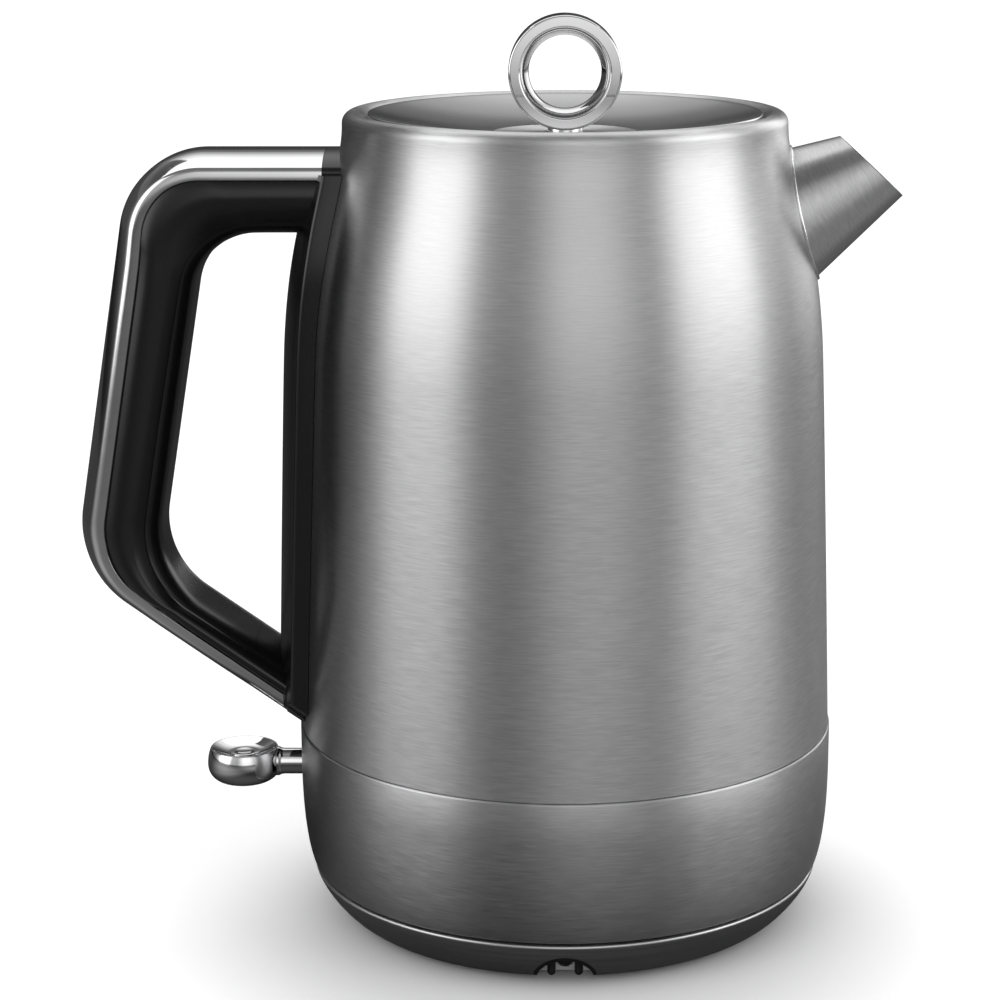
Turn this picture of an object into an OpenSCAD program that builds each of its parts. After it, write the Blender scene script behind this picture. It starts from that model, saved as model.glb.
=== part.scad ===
// Cordless electric kettle on a round power base.
// The origin is on the table under the centre of the base, +Z is up, the spout points to +X and the handle to -X.

/* [Body] */
// Outer radius of the lower collar at the seam
seam_r = 76; // [73:0.5:79]
// Height of the seam between collar and jug
seam_z = 55.3; // [53:0.1:58]
// Outer radius of the jug where the shoulder begins
knee_r = 71.7; // [69:0.1:74]
// Height at which the shoulder begins
knee_z = 165; // [158:1:172]
// Outer radius of the rolled rim
rim_r = 61; // [60:0.5:62.5]
// Height of the rim's highest line
rim_z = 228.8; // [224:0.2:232]
// Width of the rolled rim, from its inner to its outer edge
rim_w = 6.1; // [5:0.1:7]
// Thickness of the steel sheet of jug, collar and spout
sheet = 0.9; // [0.6:0.05:1.2]
// How far the collar stands out from the jug at the seam
seam_step = 0.45; // [0.2:0.05:0.8]
// Height of the jug's skirt that is pushed into the collar
skirt_h = 8.6; // [7:0.1:9]

/* [Power base] */
// Height of the base's top edge above the table
base_z = 14; // [13:0.1:15]
// How far the base's top edge stands in from the collar
base_in = 3.4; // [2.6:0.1:4.2]
// How far the base tapers in from its top edge to its lower edge
base_taper = 9.6; // [8:0.2:11]
// Wall thickness of the base cover
base_wall = 2.2; // [1.8:0.1:2.6]
// Depth of the dish in the base's top
dish_depth = 3; // [2:0.1:3.4]
// Width of the flat land around the dish
land_w = 5.5; // [4:0.1:7]
// Height that the base's lower edge stands above the table
foot_lift = 1.5; // [1:0.1:2]
// Thickness of the base's bottom plate
plate_t = 2; // [1.6:0.1:2.4]
// Radius of the arch in which the cord leaves the base
arch_r = 8.65; // [7.5:0.05:9]
// Gap between kettle and base all round
base_gap = 0.8; // [0.5:0.05:1.2]

/* [Connector] */
// Radius of the round socket in the middle of the base
hub_r = 16.5; // [15.5:0.1:17.5]
// Height of the socket's top above the table
hub_z = 23.4; // [22:0.1:25]
// Middle radius of the inner ring contact
ring_a = 5.45; // [5.3:0.01:5.6]
// Middle radius of the outer ring contact
ring_b = 11.65; // [11.5:0.01:11.9]
// Width of the socket's ring slots
slot_w = 2.2; // [2:0.05:2.3]
// Thickness of the kettle's contact rings
blade_t = 0.7; // [0.5:0.05:0.8]

/* [Lid] */
// Gap between the lid and the rim all round
lid_gap = 0.7; // [0.5:0.1:1.2]
// Depth of the dish in the lid, from its edge to the centre disc
lid_dish = 5.8; // [4.5:0.1:6.5]
// Thickness of the lid's steel sheet
lid_t = 1.2; // [0.8:0.05:1.4]
// Height of the lid's skirt
lid_skirt = 12; // [11:0.1:13]
// Radius of the flat disc in the middle of the lid
disc_r = 20; // [17:0.5:23]
// Radius of the foot that carries the ring
pedestal_r = 4.8; // [4:0.1:6]
// Outer radius of the ring handle
ring_r = 15.5; // [14:0.1:17]
// Radius of the finger hole in the ring handle
ring_hole_r = 9.9; // [9:0.1:10.5]
// Depth of the ring handle, front to back
ring_d = 12; // [10:0.5:14]
// Radius of the step between the ring's face and its rounded inside
ring_face_r = 12.6; // [12:0.1:13]
// Turn of the ring handle about the vertical
ring_turn = 4.5; // [0:0.5:10]
// Width of the ledge that the lid's skirt rests on
seat_w = 2.7; // [2.2:0.1:3.4]

/* [Spout] */
// Height of the spout cone's tip point, where its sides would meet
spout_apex_z = 232.8; // [230:0.2:235]
// Distance of the spout cone's tip point from the kettle's axis
spout_apex_x = 121.1; // [118:0.2:124]
// Slope of the spout's centre line
spout_rise = 29; // [26:0.5:32]
// Angle between the spout's centre line and its side
spout_half = 15.2; // [13:0.2:16.5]
// Slope of the cut that ends the spout, below the horizontal
lip_slope = 42.6; // [38:0.2:48]
// Distance of the lip's lowest point from the kettle's axis
lip_x = 93; // [90:0.2:96]

/* [Handle] */
// Height of the handle's top
handle_z = 218.35; // [216:0.05:221]
// Distance of the upper outer corner of the handle from the kettle's axis
handle_top_x = 118.85; // [114:0.05:124]
// Distance of the handle's elbow from the kettle's axis
elbow_x = 138.75; // [134:0.05:144]
// Height of the elbow
elbow_z = 101.1; // [96:0.1:107]
// Height at which the lower arm's outside meets the jug
arm_foot_z = 56.2; // [56:0.1:60]
// Thickness of the upper arm
top_arm_t = 22.4; // [20:0.2:25]
// Thickness of the grip
grip_t = 23.2; // [20:0.2:26]
// Height of the lower arm, measured upright
low_arm_t = 15.6; // [14:0.1:18]
// Half of the handle's width
handle_hw = 17; // [15:0.1:18]
// Half of the width of the band that lies on the jug, at its foot
band_hw = 22; // [21:0.1:23]
// Thickness of the band in its middle
band_t = 6.2; // [6:0.1:8]
// Depth of the chrome strip on the grip, from its crown to its lower edge
strip_d = 8.3; // [7:0.1:9]
// Depth of the chrome strip on the upper arm
strip_top_d = 7; // [6:0.1:8]
// Depth of the strip's flat side face
strip_side = 2.3; // [1.8:0.1:3]
// Thickness of the chrome strip
strip_t = 1.2; // [0.8:0.1:1.4]
// Depth of the inner cover that closes the handle
cover_d = 4; // [3:0.1:5]
// Length of the black root between chrome strip and jug, at the top
root_len = 4.4; // [3:0.1:7]

/* [Switch] */
// Height of the switch lever's stem
lever_z = 40.85; // [40:0.05:41]
// Distance of the switch's pivot behind the collar's wall
pivot_in = 12.5; // [12:0.1:13]
// Radius of the stem
stem_r = 3.75; // [3:0.05:4]
// Distance of the finger cup's middle in front of the collar's wall
cup_out_x = 17; // [15:0.2:20]
// Largest radius of the finger cup
cup_r = 10.6; // [9:0.1:12]
// Height of the finger cup
cup_h = 10; // [8:0.2:11]
// Travel of the lever, in degrees
lever_travel = 13; // [8:1:14]

/* [Inside] */
// Height of the heating plate's upper face
heater_z = 54; // [53.4:0.1:54.6]
// Thickness of the heating plate
heater_t = 1; // [0.8:0.05:1.2]
// Radius of the heat spreader
spreader_r = 48; // [46:0.5:49]
// Thickness of the heat spreader
spreader_t = 2.5; // [2:0.1:3]
// Radius of the heating element's ring
element_ring_r = 40; // [38:0.5:42]
// Radius of the heating element's tube
element_r = 4; // [3.5:0.1:4.2]
// Outer radius of the steam tube
steam_r = 3; // [2.5:0.1:3.2]
// Distance of the steam tube from the heating plate's edge
steam_in = 20; // [19.6:0.2:21]

/* [Hidden] */
$fn = 96;

fit = 0.1;          // gap between pieces that are fixed to each other
free = 0.3;         // gap between pieces that move past each other
run = 0.05;         // radial gap of a pin in its bore
eps = 0.02;         // overlap of two cuts in the same piece
far = 200;          // longer than any cut has to be

// A point on a cubic curve
function bez(a, b, c, d, t) =
    (1 - t) ^ 3 * a + 3 * (1 - t) ^ 2 * t * b + 3 * (1 - t) * t ^ 2 * c + t ^ 3 * d;

// Points of an arc about c in the order of its angles
function arc(c, r, a0, a1, n) = [for (i = [0:n]) c + r * [cos(a0 + (a1 - a0) * i / n), sin(a0 + (a1 - a0) * i / n)]];

function reverse(v) = [for (i = [len(v) - 1:-1:0]) v[i]];
function grow(v, d) = [for (p = v) [p[0] + d, p[1]]];

// Jug profile, outside, from the seam to the neck
roll_r = rim_w / 2;
neck_z = rim_z - roll_r;
foot_r = seam_r - seam_step;
belly_pull = 20;        // length of the curve handle above the seam
knee_pull = 10;         // the same below the shoulder
shoulder_pull = 35.4;   // the same above the shoulder's beginning
neck_pull = 14;         // the same below the neck
knee_slope = 0.061;     // inward slope of the wall where the shoulder begins
belly_slope = 0.027;    // inward slope of the wall above the seam
jug_z0 = seam_z + 0.3;
jug_profile = concat(
    [for (i = [0:8]) bez([foot_r, jug_z0], [foot_r - belly_slope * belly_pull, jug_z0 + belly_pull],
        [knee_r + knee_slope * knee_pull, knee_z - knee_pull], [knee_r, knee_z], i / 9)],
    [for (i = [0:16]) bez([knee_r, knee_z], [knee_r - knee_slope * shoulder_pull, knee_z + shoulder_pull],
        [rim_r, neck_z - neck_pull], [rim_r, neck_z], i / 16)]);
jug_table = [for (p = jug_profile) [p[1], p[0]]];
function jug_r(z) = lookup(z, jug_table);

// The jug as a full body, grown by d: what stands on the jug is cut with it
module jug_body(d) {
    rotate_extrude()
        polygon(concat([[0, jug_z0 - 20], [foot_r + d, jug_z0 - 20]], grow(jug_profile, d),
            [[rim_r + d, rim_z], [0, rim_z]]));
}

rim_in = rim_r - rim_w;
skirt_r = seam_r - sheet - fit;
skirt_z = seam_z - skirt_h;

// Power base heights and radii
base_r = seam_r - base_in;
base_foot_r = base_r - base_taper;
dish_z = base_z - dish_depth;
dish_r = base_r - land_w;
cover_under = dish_z - base_wall;
boss_r = hub_r + 3;
boss_z = base_z + 0.4;
side = [for (i = [0:6]) let (t = i / 6)
    [base_foot_r + (base_r - base_foot_r) * (1 - (1 - t) ^ 1.3) ^ (1 / 1.3), foot_lift + (base_z - 0.6 - foot_lift) * t]];
module base_envelope() {
    rotate_extrude() polygon(concat([[0, foot_lift]], side, [[base_r - 0.5, base_z], [0, base_z]]));
}
plate_r = base_foot_r - base_wall;
foot_ring_out = plate_r - 4.8;
foot_ring_in = foot_ring_out - 6;
foot_groove = 0.8;
base_screw_r = foot_ring_in - 6;    // radius of the circle of the base's screws
screw_head_r = 2.8;
screw_head_h = 1.5;
screw_r = 1.25;
pilot_r = 1.3;
base_screw_turn = 90;

// Kettle underside
collar_z = base_z + base_gap;
under_z = collar_z + 0.2;
under_t = 2;
under_r = base_r - 2.3;
heater_r = skirt_r - sheet - fit;
post_ring_r = heater_r - 21;       // radius of the circle of the heating plate's screw posts
post_r = 3;
drip_ring_r = dish_r - 10.2;       // inner radius of the rib under the kettle that keeps water from the socket
post_turn = 90;
steam_x = heater_r - steam_in;

// Connector
cup_in = hub_r + base_gap;
cup_out = cup_in + 3.2;
cup_roof = hub_z + 0.6;
slot_floor = base_z - 1;
contact_t = 0.4;
shutter_in = 7.9;
shutter_out = 9.3;
shutter_t = 1.5;
control_z = cup_roof + 3;
control_r = 22;

// Lid
lid_r = rim_in - lid_gap;
seat_r = lid_r - seat_w;
lid_z = rim_z - 0.4;
lid_disc_z = lid_z - lid_dish;
seat_z = lid_z - lid_skirt - free;
plug_r = seat_r - 1.3;
plug_z = seat_z - 9;
ring_z = lid_disc_z + 1.1 + ring_r;
pedestal_z = lid_disc_z + 1.9;
lid_screw_r = 1.5;
lid_screw_boss = 5;

// Spout
spout_dir = [cos(spout_rise), 0, sin(spout_rise)];
spout_apex = [spout_apex_x, 0, spout_apex_z];
lip_z = spout_apex_z - (spout_apex_x - lip_x) * tan(spout_rise + spout_half);
spout_reach = (spout_apex_x - knee_r / 2) / cos(spout_rise);    // length of the whole cone, from its tip to inside the jug
over = 10;                          // how much longer a cutting cone is

// Switch
pivot_x = seam_r - pivot_in;
cup_x = seam_r + cup_out_x;
slot_r = stem_r + free + 0.1;
slot_drop = (seam_r - pivot_x) * sin(lever_travel) + 0.5;

// Handle centre lines, outside and inside, in the plane y = 0
function hit(p, u, q, v) = p + u * ((q[0] - p[0]) * v[1] - (q[1] - p[1]) * v[0]) / (u[0] * v[1] - u[1] * v[0]);
function unit(v) = v / norm(v);

// One rounded corner at b on the way from a to c
function corner(a, b, c, r, n) =
    let (u = unit(a - b), v = unit(c - b), half = acos(u * v) / 2, w = unit(u + v),
         m = b + w * (r / sin(half)), s = b + u * (r / tan(half)), e = b + v * (r / tan(half)),
         a0 = atan2(s[1] - m[1], s[0] - m[0]), a1 = atan2(e[1] - m[1], e[0] - m[0]),
         d = a1 - a0, turn = d > 180 ? d - 360 : d < -180 ? d + 360 : d)
    arc(m, r, a0, a0 + turn, n);

arm_foot = [-jug_r(arm_foot_z), arm_foot_z];
top_corner = [-handle_top_x, handle_z];
elbow = [-elbow_x, elbow_z];
arm_dir = unit(arm_foot - elbow);
grip_dir = unit(elbow - top_corner);
in_top = hit([0, handle_z - top_arm_t], [1, 0], top_corner + [grip_t, 0], grip_dir);
in_elbow = hit(elbow + [grip_t, 0], grip_dir, elbow + [0, low_arm_t], arm_dir);
function on_arm(x, lift) = [x, elbow_z + lift + (x + elbow_x) * arm_dir[1] / arm_dir[0]];

root_x = -(rim_r + root_len);       // where the chrome strip begins
cover_x = -(rim_r + 17);            // where the inner cover begins
strip_end_x = -(foot_r + 3.8);      // where the chrome strip ends
cover_end_x = -(foot_r + 12);       // where the inner cover ends
start_x = -(rim_r - 4);
end_x = -(foot_r - 4);
bend_n = 11;                        // steps round each bend
outer_top_r = 24;
outer_elbow_r = 28;
inner_top_r = 18;
inner_elbow_r = 26;

function upright(x) = [[x, handle_z], [x, handle_z - top_arm_t]];
function leaning(x) = [on_arm(x, 0), on_arm(x, low_arm_t)];
bend_out = concat(corner([0, handle_z], top_corner, elbow, outer_top_r, bend_n),
    corner(top_corner, elbow, arm_foot, outer_elbow_r, bend_n));
bend_in = concat(corner([0, in_top[1]], in_top, in_elbow, inner_top_r, bend_n),
    corner(in_top, in_elbow, in_elbow + arm_dir * 40, inner_elbow_r, bend_n));

// Each station holds its outer point, its inner point, its half width and the kind of its section
function station(ends, hw, kind) = [ends[0], ends[1], hw, kind];
function between(a, b, n) = [for (i = [1:n]) a + (b - a) * i / (n + 1)];
out_path = concat([for (i = [0:bend_n]) bend_out[i]], between(bend_out[bend_n], bend_out[bend_n + 1], 5),
    [for (i = [bend_n + 1:2 * bend_n + 1]) bend_out[i]]);
in_path = concat([for (i = [0:bend_n]) bend_in[i]], between(bend_in[bend_n], bend_in[bend_n + 1], 5),
    [for (i = [bend_n + 1:2 * bend_n + 1]) bend_in[i]]);
mid_stations = [for (i = [0:len(out_path) - 1]) [out_path[i], in_path[i], handle_hw, "core"]];
grip_stations = concat([station(upright(cover_x), handle_hw, "core")], mid_stations, [station(leaning(cover_end_x), handle_hw, "core")]);
cover_stations = concat([station(upright(cover_x - fit), handle_hw, "cover")], mid_stations,
    [station(leaning(cover_end_x - fit), handle_hw, "cover")]);
strip_stations = concat([station(upright(root_x - fit), handle_hw, "strip")], grip_stations,
    [station(leaning(strip_end_x - fit), handle_hw, "strip")]);
step = 0.01;                        // length of the step from one kind of section to the next
shell_stations = concat(
    [station(upright(start_x), band_hw + 1, "full"), station(upright(start_x - 4), band_hw - 0.6, "full"),
     station(upright(start_x - 6.2), handle_hw + 1.6, "full"), station(upright(root_x), handle_hw, "full"),
     station(upright(root_x - step), handle_hw, "neck"), station(upright(cover_x + step), handle_hw, "neck")],
    grip_stations,
    [station(leaning(cover_end_x + step), handle_hw, "neck"), station(leaning(strip_end_x - step), handle_hw, "neck"),
     station(leaning(strip_end_x), handle_hw, "full"), station(leaning(end_x), handle_hw + 1, "full")]);

// Depths that change along the handle: of the chrome strip, and of the inner cover
function strip_depth(z) = lookup(z, [[handle_z - 30, strip_d], [handle_z - 3, strip_top_d]]);
function cover_depth(t) = min(cover_d, t * 0.18);

// Half sections of the handle as [depth from the outside, distance from the middle plane].
// hw is the half width, t the handle's depth and d the strip's
crown_steps = [0, 0.3, 0.52, 0.7, 0.84, 0.93];
function outer_edge(hw, d, in) = let (c = d - strip_side)
    concat([for (f = crown_steps) [in + 0.86 * c * f ^ 3, (hw - in) * f]],
        [[0.85 * c + in * 0.75, (hw - in) * 0.978], [c + in * 0.4, hw - in]]);
function flank(hw, t, d) = let (w = t - d - cover_depth(t), b = min(1, w / 11))
    [[d, hw - 0.5], [d + w * 0.1, hw + 0.2 * b], [d + w * 0.28, hw + 0.9 * b], [d + w * 0.52, hw + 0.8 * b],
     [d + w * 0.78, hw - 0.7], [d + w, hw - 2.8]];
function inner_round(hw, t) = let (c = cover_depth(t)) [[t - c * 0.5, hw - 4.6], [t - c * 0.15, hw - 7.6], [t, hw - 11.2], [t, 0]];

function recess(hw, d) = concat(outer_edge(hw, d, strip_t), [[d, hw - strip_t]]);
function flat_end(hw, t) = [for (f = [0.8, 0.5, 0.2, 0]) [t - cover_depth(t), (hw - 2.8) * f]];
function full_section(hw, t, d) = concat(outer_edge(hw, d, 0), [[d - 0.5, hw]], flank(hw, t, d), inner_round(hw, t));
function neck_section(hw, t, d) = concat(recess(hw, d), flank(hw, t, d), inner_round(hw, t));
function core_section(hw, t, d) = concat(recess(hw, d), flank(hw, t, d), flat_end(hw, t));
function cover_section(hw, t) = concat([[t - cover_depth(t) + fit, hw - 3.2]], inner_round(hw, t));
function strip_section(hw, d) = concat(outer_edge(hw, d, 0), [[d - run, hw], [d - run, hw - strip_t + run]],
    reverse(outer_edge(hw, d, strip_t - run)));

// A half section laid into its station, closed by its mirror image
function place(s, half) =
    let (u = unit(s[1] - s[0]),
         whole = concat(half, [for (i = [len(half) - 1:-1:0]) if (half[i][1] > 0) [half[i][0], -half[i][1]]]))
    [for (q = whole) [s[0][0] + u[0] * q[0], q[1], s[0][1] + u[1] * q[0]]];

// Each four-cornered face is split from its corner further from the middle plane, so two lofts along the same stations meet
function wider(loop, k, j) = abs(loop[k][1]) > abs(loop[j][1]);

// A solid through a row of equal loops
module loft(loops) {
    n = len(loops[0]);
    m = len(loops);
    polyhedron(
        points = [for (l = loops) each l],
        faces = concat(
            [[for (k = [0:n - 1]) k]],
            [for (i = [0:m - 2], k = [0:n - 1]) let (j = (k + 1) % n, q = wider(loops[i], k, j)) [i * n + k, (i + 1) * n + k, (q ? i + 1 : i) * n + j]],
            [for (i = [0:m - 2], k = [0:n - 1]) let (j = (k + 1) % n, q = wider(loops[i], k, j)) [i * n + j, (q ? i : i + 1) * n + k, (i + 1) * n + j]],
            [[for (k = [n - 1:-1:0]) (m - 1) * n + k]]));
}

// A round ring between two radii and two heights
module tube(r0, r1, z0, z1) {
    rotate_extrude() translate([r0, z0]) square([r1 - r0, z1 - z0]);
}

module around(r, turn, n = 3) {
    for (i = [0:n - 1]) rotate(turn + i * 360 / n) translate([r, 0, 0]) children();
}

// ---- Power base ----

module base_cover() color("dimgray") difference() {
    union() {
        rotate_extrude() polygon(concat(side, [
            [base_r - 0.5, base_z], [dish_r, base_z], [dish_r - 1, dish_z],
            [boss_r, dish_z], [boss_r, boss_z - 0.6], [boss_r - 0.6, boss_z], [hub_r + 0.4, boss_z],
            [hub_r + 0.4, cover_under], [base_foot_r + 0.8, cover_under],
            [dish_r - 1, cover_under + 1.6], [base_r - base_wall - 0.8, dish_z - 0.2],
            [base_r - base_wall - 2.2, cover_under - 0.8], [base_foot_r - base_wall + fit, foot_lift]]));
        around(base_screw_r, base_screw_turn) translate([0, 0, foot_lift + plate_t + fit])
            cylinder(r = 4, h = cover_under - foot_lift - plate_t + eps);
    }
    around(base_screw_r, base_screw_turn) cylinder(r = pilot_r, h = dish_z - 1.2);
    translate([0, -outlet_back + fit, foot_lift]) rotate([90, 0, 0]) cylinder(r = arch_r + fit, h = far);
}

module base_bottom() color("black") difference() {
    translate([0, 0, foot_lift]) cylinder(r = plate_r, h = plate_t);
    tube(foot_ring_in - fit, foot_ring_out + fit, 0, foot_lift + foot_groove + fit);
    around(base_screw_r, base_screw_turn) cylinder(r = pilot_r + 0.1, h = far);
    around(base_screw_r, base_screw_turn) cylinder(r = screw_head_r + fit, h = foot_lift + screw_head_h + fit);
    translate([0, -outlet_back + fit, foot_lift]) rotate([90, 0, 0]) cylinder(r = arch_r + fit, h = far);
}

module base_foot_ring() color("#202020") tube(foot_ring_in, foot_ring_out, 0, foot_lift + foot_groove);

module base_screws() color("silver") around(base_screw_r, base_screw_turn) {
    translate([0, 0, foot_lift]) difference() {
        cylinder(r = screw_head_r, h = screw_head_h);
        for (a = [0, 90]) rotate(a) translate([-1.6, -0.35, -eps]) cube([3.2, 0.7, 0.9]);
    }
    translate([0, 0, foot_lift + screw_head_h - eps]) cylinder(r = screw_r, h = 6.5);
}

// Grommet of the cord outlet: a half round liner with a back wall, a cable hole and two clamping pegs
outlet_back = base_foot_r - 5;
liner_t = 1.1;
peg_x = 3.7;
peg_r = 1.15;
peg_y = base_foot_r + 1.6;
module cord_outlet() color("#181818") {
    intersection() {
        base_envelope();
        translate([0, 0, foot_lift]) rotate([90, 0, 0]) difference() {
            translate([0, 0, outlet_back]) cylinder(r = arch_r, h = far);
            translate([0, 0, outlet_back + 1.2]) cylinder(r = arch_r - liner_t, h = far);
            translate([0, 3.6, 0]) cylinder(r = 2.6, h = far);
        }
        translate([-far / 2, -far, foot_lift]) cube([far, far, far]);
    }
    peg_top = foot_lift + sqrt((arch_r - liner_t) ^ 2 - peg_x ^ 2) + 0.4;
    for (s = [-1, 1]) translate([s * peg_x, -peg_y, foot_lift + 2.2]) {
        cylinder(r = peg_r, h = peg_top - foot_lift - 2.2);
        sphere(r = peg_r);
    }
}

// Round socket with an earth hole and two ring slots
module base_socket() color("#1c1c1c") difference() {
    union() {
        translate([0, 0, foot_lift + plate_t + free]) cylinder(r = hub_r + 2.6, h = cover_under - foot_lift - plate_t - 2 * free);
        translate([0, 0, foot_lift + plate_t + free]) cylinder(r = hub_r, h = hub_z - 1 - foot_lift - plate_t - free);
        translate([0, 0, hub_z - 1 - eps]) cylinder(r1 = hub_r, r2 = hub_r - 1, h = 1 + eps);
    }
    translate([0, 0, slot_floor]) cylinder(r = 2.8, h = far);
    for (r = [ring_a, ring_b]) tube(r - slot_w / 2, r + slot_w / 2, slot_floor, far);
    tube(shutter_in - free, shutter_out + free, hub_z - shutter_t - free, far);
    for (r = [ring_a, ring_b]) translate([r + slot_w / 2 - contact_t - 2 * fit, -2.1, 0])
        cube([contact_t + 2 * fit, 4.2, slot_floor + eps]);
    translate([-2.8, -1.3, 0]) cube([contact_t + 2 * fit, 2.6, slot_floor + eps]);
}

// Brass contacts: an earth sleeve and two rings, each with a tail through the socket's floor
module socket_contacts() color("goldenrod") {
    for (r = [ring_a, ring_b]) {
        outer = r + slot_w / 2 - run;
        tube(outer - contact_t, outer, slot_floor + fit, slot_floor + 5);
        translate([outer - contact_t, -1.8, foot_lift + plate_t + 1]) cube([contact_t * 0.8, 3.6, slot_floor - foot_lift - plate_t - 0.6]);
    }
    tube(2.35, 2.35 + contact_t, slot_floor + fit, slot_floor + 6);
    translate([-2.7, -1, foot_lift + plate_t + 1]) cube([contact_t * 0.8, 2, slot_floor - foot_lift - plate_t - 0.6]);
}

module socket_shutter() color("whitesmoke") tube(shutter_in, shutter_out, hub_z - shutter_t, hub_z - 0.3);

// ---- Jug ----

// A cone about the spout's centre line, with its side moved out by r_off
module spout_cone(r_off, longer = 0) {
    shift = r_off / sin(spout_half);
    h = spout_reach + shift + longer;
    translate(spout_apex + spout_dir * shift) rotate([0, 90 - spout_rise + 180, 0])
        cylinder(r1 = 0, r2 = h * tan(spout_half), h = h);
}

module jug_shell() color("silver") difference() {
    rotate_extrude() polygon(concat(
        [[skirt_r, skirt_z], [skirt_r, seam_z + fit], [foot_r, jug_z0]],
        [for (i = [1:len(jug_profile) - 1]) jug_profile[i]],
        arc([rim_r - roll_r, neck_z], roll_r, 7.5, 180, 14),
        [[rim_in, neck_z - 6], [rim_in + sheet, neck_z - 6]],
        arc([rim_r - roll_r, neck_z], roll_r - sheet, 180, 0, 10),
        reverse(grow([for (i = [1:len(jug_profile) - 2]) jug_profile[i]], -sheet)),
        [[skirt_r - sheet, seam_z], [skirt_r - sheet, skirt_z]]));
    spout_hole();
    for (z = stud_zs) translate([0, 0, z]) rotate([0, -90, 0]) cylinder(r = 1.6, h = far);
}

module lower_collar() color("silver") difference() {
    rotate_extrude() polygon([
        [under_r + free, collar_z], [base_r - 0.5, collar_z], [base_r + 0.3, collar_z + 0.5],
        [seam_r - 2.1, collar_z + 2.6], [seam_r - 1.55, collar_z + 5.2], [seam_r - 1.1, collar_z + 8.6], [seam_r - 0.7, collar_z + 12],
        [seam_r - 0.4, collar_z + 15.8], [seam_r - 0.15, collar_z + 21], [seam_r, collar_z + 28],
        [seam_r, seam_z - 0.5], [seam_r - 0.3, seam_z],
        [seam_r - sheet, seam_z], [seam_r - sheet, collar_z + 28], [seam_r - sheet - 0.15, collar_z + 21],
        [seam_r - sheet - 0.4, collar_z + 15.8], [seam_r - sheet - 0.7, collar_z + 12], [seam_r - sheet - 1.1, collar_z + 8.6],
        [seam_r - sheet - 1.55, collar_z + 5.2], [seam_r - sheet - 2.1, collar_z + 2.6],
        [base_r - 1.1, collar_z + sheet], [under_r + free, collar_z + sheet]]);
    for (z = [lever_z, lever_z - slot_drop]) translate([0, 0, z]) rotate([0, -90, 0]) cylinder(r = slot_r, h = far);
    translate([-far, -slot_r, lever_z - slot_drop]) cube([far, 2 * slot_r, slot_drop]);
}

module spout() color("silver") difference() {
    spout_cone(0);
    spout_cone(-sheet, over);
    jug_body(fit);
    translate([lip_x, 0, lip_z]) rotate([0, lip_slope, 0]) translate([-far / 2, -far / 2, 0]) cube(far);
    translate([-far, -far / 2, 0]) cube([far, far, 2 * far]);
}

module spout_bead() color("silver") difference() {
    intersection() {
        spout_cone(1.1);
        jug_body(0.8);
        translate([0, -far / 2, 0]) cube([far, far, rim_z - 1]);
    }
    spout_cone(run, over);
    jug_body(run);
}

// The jug's opening behind the spout ends below the lid's seat
hole_inset = 2.4;
hole_top = seat_z - 4;
module spout_hole() intersection() {
    spout_cone(-hole_inset);
    translate([0, -far / 2, 0]) cube([far, far, hole_top]);
}

// Perforated plate fixed behind the opening: one cone that touches the wall above and below
strain_hole = 1.2;
strain_pitch = 4.6;
strain_z0 = spout_apex_z - (spout_apex_x - knee_r) * tan(spout_rise + spout_half) - 2;
strain_z1 = hole_top + 1;
function strain_r(z) = let (a = jug_r(strain_z0), b = jug_r(strain_z1)) a + (b - a) * (z - strain_z0) / (strain_z1 - strain_z0) - sheet - fit;
module spout_strainer() color("silver") difference() {
    intersection() {
        rotate_extrude() polygon([for (q = [[0, strain_z0], [0, strain_z1], [-0.6, strain_z1], [-0.6, strain_z0]]) [strain_r(q[1]) + q[0], q[1]]]);
        spout_cone(-1);
        translate([0, -far / 2, 0]) cube([far, far, rim_z]);
    }
    for (k = [-2:2]) for (j = [-3:3]) if (norm([k * 0.87, j + abs(k % 2) / 2]) < 3.2)
        translate([0, strain_pitch * (j + abs(k % 2) / 2), (strain_z0 + strain_z1) / 2 + 1 + strain_pitch * 0.87 * k])
            rotate([0, 90, 0]) cylinder(r = strain_hole, h = far);
}

// Steel seat inside the neck that the lid's skirt rests on
module lid_seat() color("gainsboro") {
    outer = jug_r(seat_z) - sheet - fit - 0.35;
    rotate_extrude() polygon([[seat_r, seat_z - 6], [seat_r + 1, seat_z - 6], [seat_r + 1, seat_z - 1.2],
        [outer, seat_z - 1.2], [outer, seat_z + 0.2], [outer - 0.6, seat_z], [seat_r, seat_z]]);
}

// ---- Underside and heating ----

module kettle_bottom() color("#202020") difference() {
    union() {
        tube(cup_out + fit, under_r, under_z, under_z + under_t);
        tube(drip_ring_r, drip_ring_r + 3, dish_z + free, under_z + eps);
    }
    around(post_ring_r, post_turn) cylinder(r = screw_r + 0.15, h = far);
    around(post_ring_r, post_turn) cylinder(r = screw_head_r + fit, h = under_z + 1.1);
}

module bottom_screws() color("silver") around(post_ring_r, post_turn) {
    translate([0, 0, under_z - 0.5]) difference() {
        cylinder(r = screw_head_r, h = screw_head_h);
        for (a = [0, 90]) rotate(a) translate([-1.6, -0.35, -eps]) cube([3.2, 0.7, 0.9]);
    }
    translate([0, 0, under_z - 0.5 + screw_head_h - eps]) cylinder(r = screw_r, h = 10);
}

module kettle_connector() color("#1c1c1c") difference() {
    translate([0, 0, under_z]) cylinder(r = cup_out, h = control_z - under_z);
    translate([0, 0, under_z - eps]) cylinder(r = cup_in, h = cup_roof - under_z + eps);
    cylinder(r = 2 + fit, h = far);
    for (r = [ring_a, ring_b]) tube(r - blade_t / 2 - fit, r + blade_t / 2 + fit, cup_roof - eps, cup_roof + 1.6);
}

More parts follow.
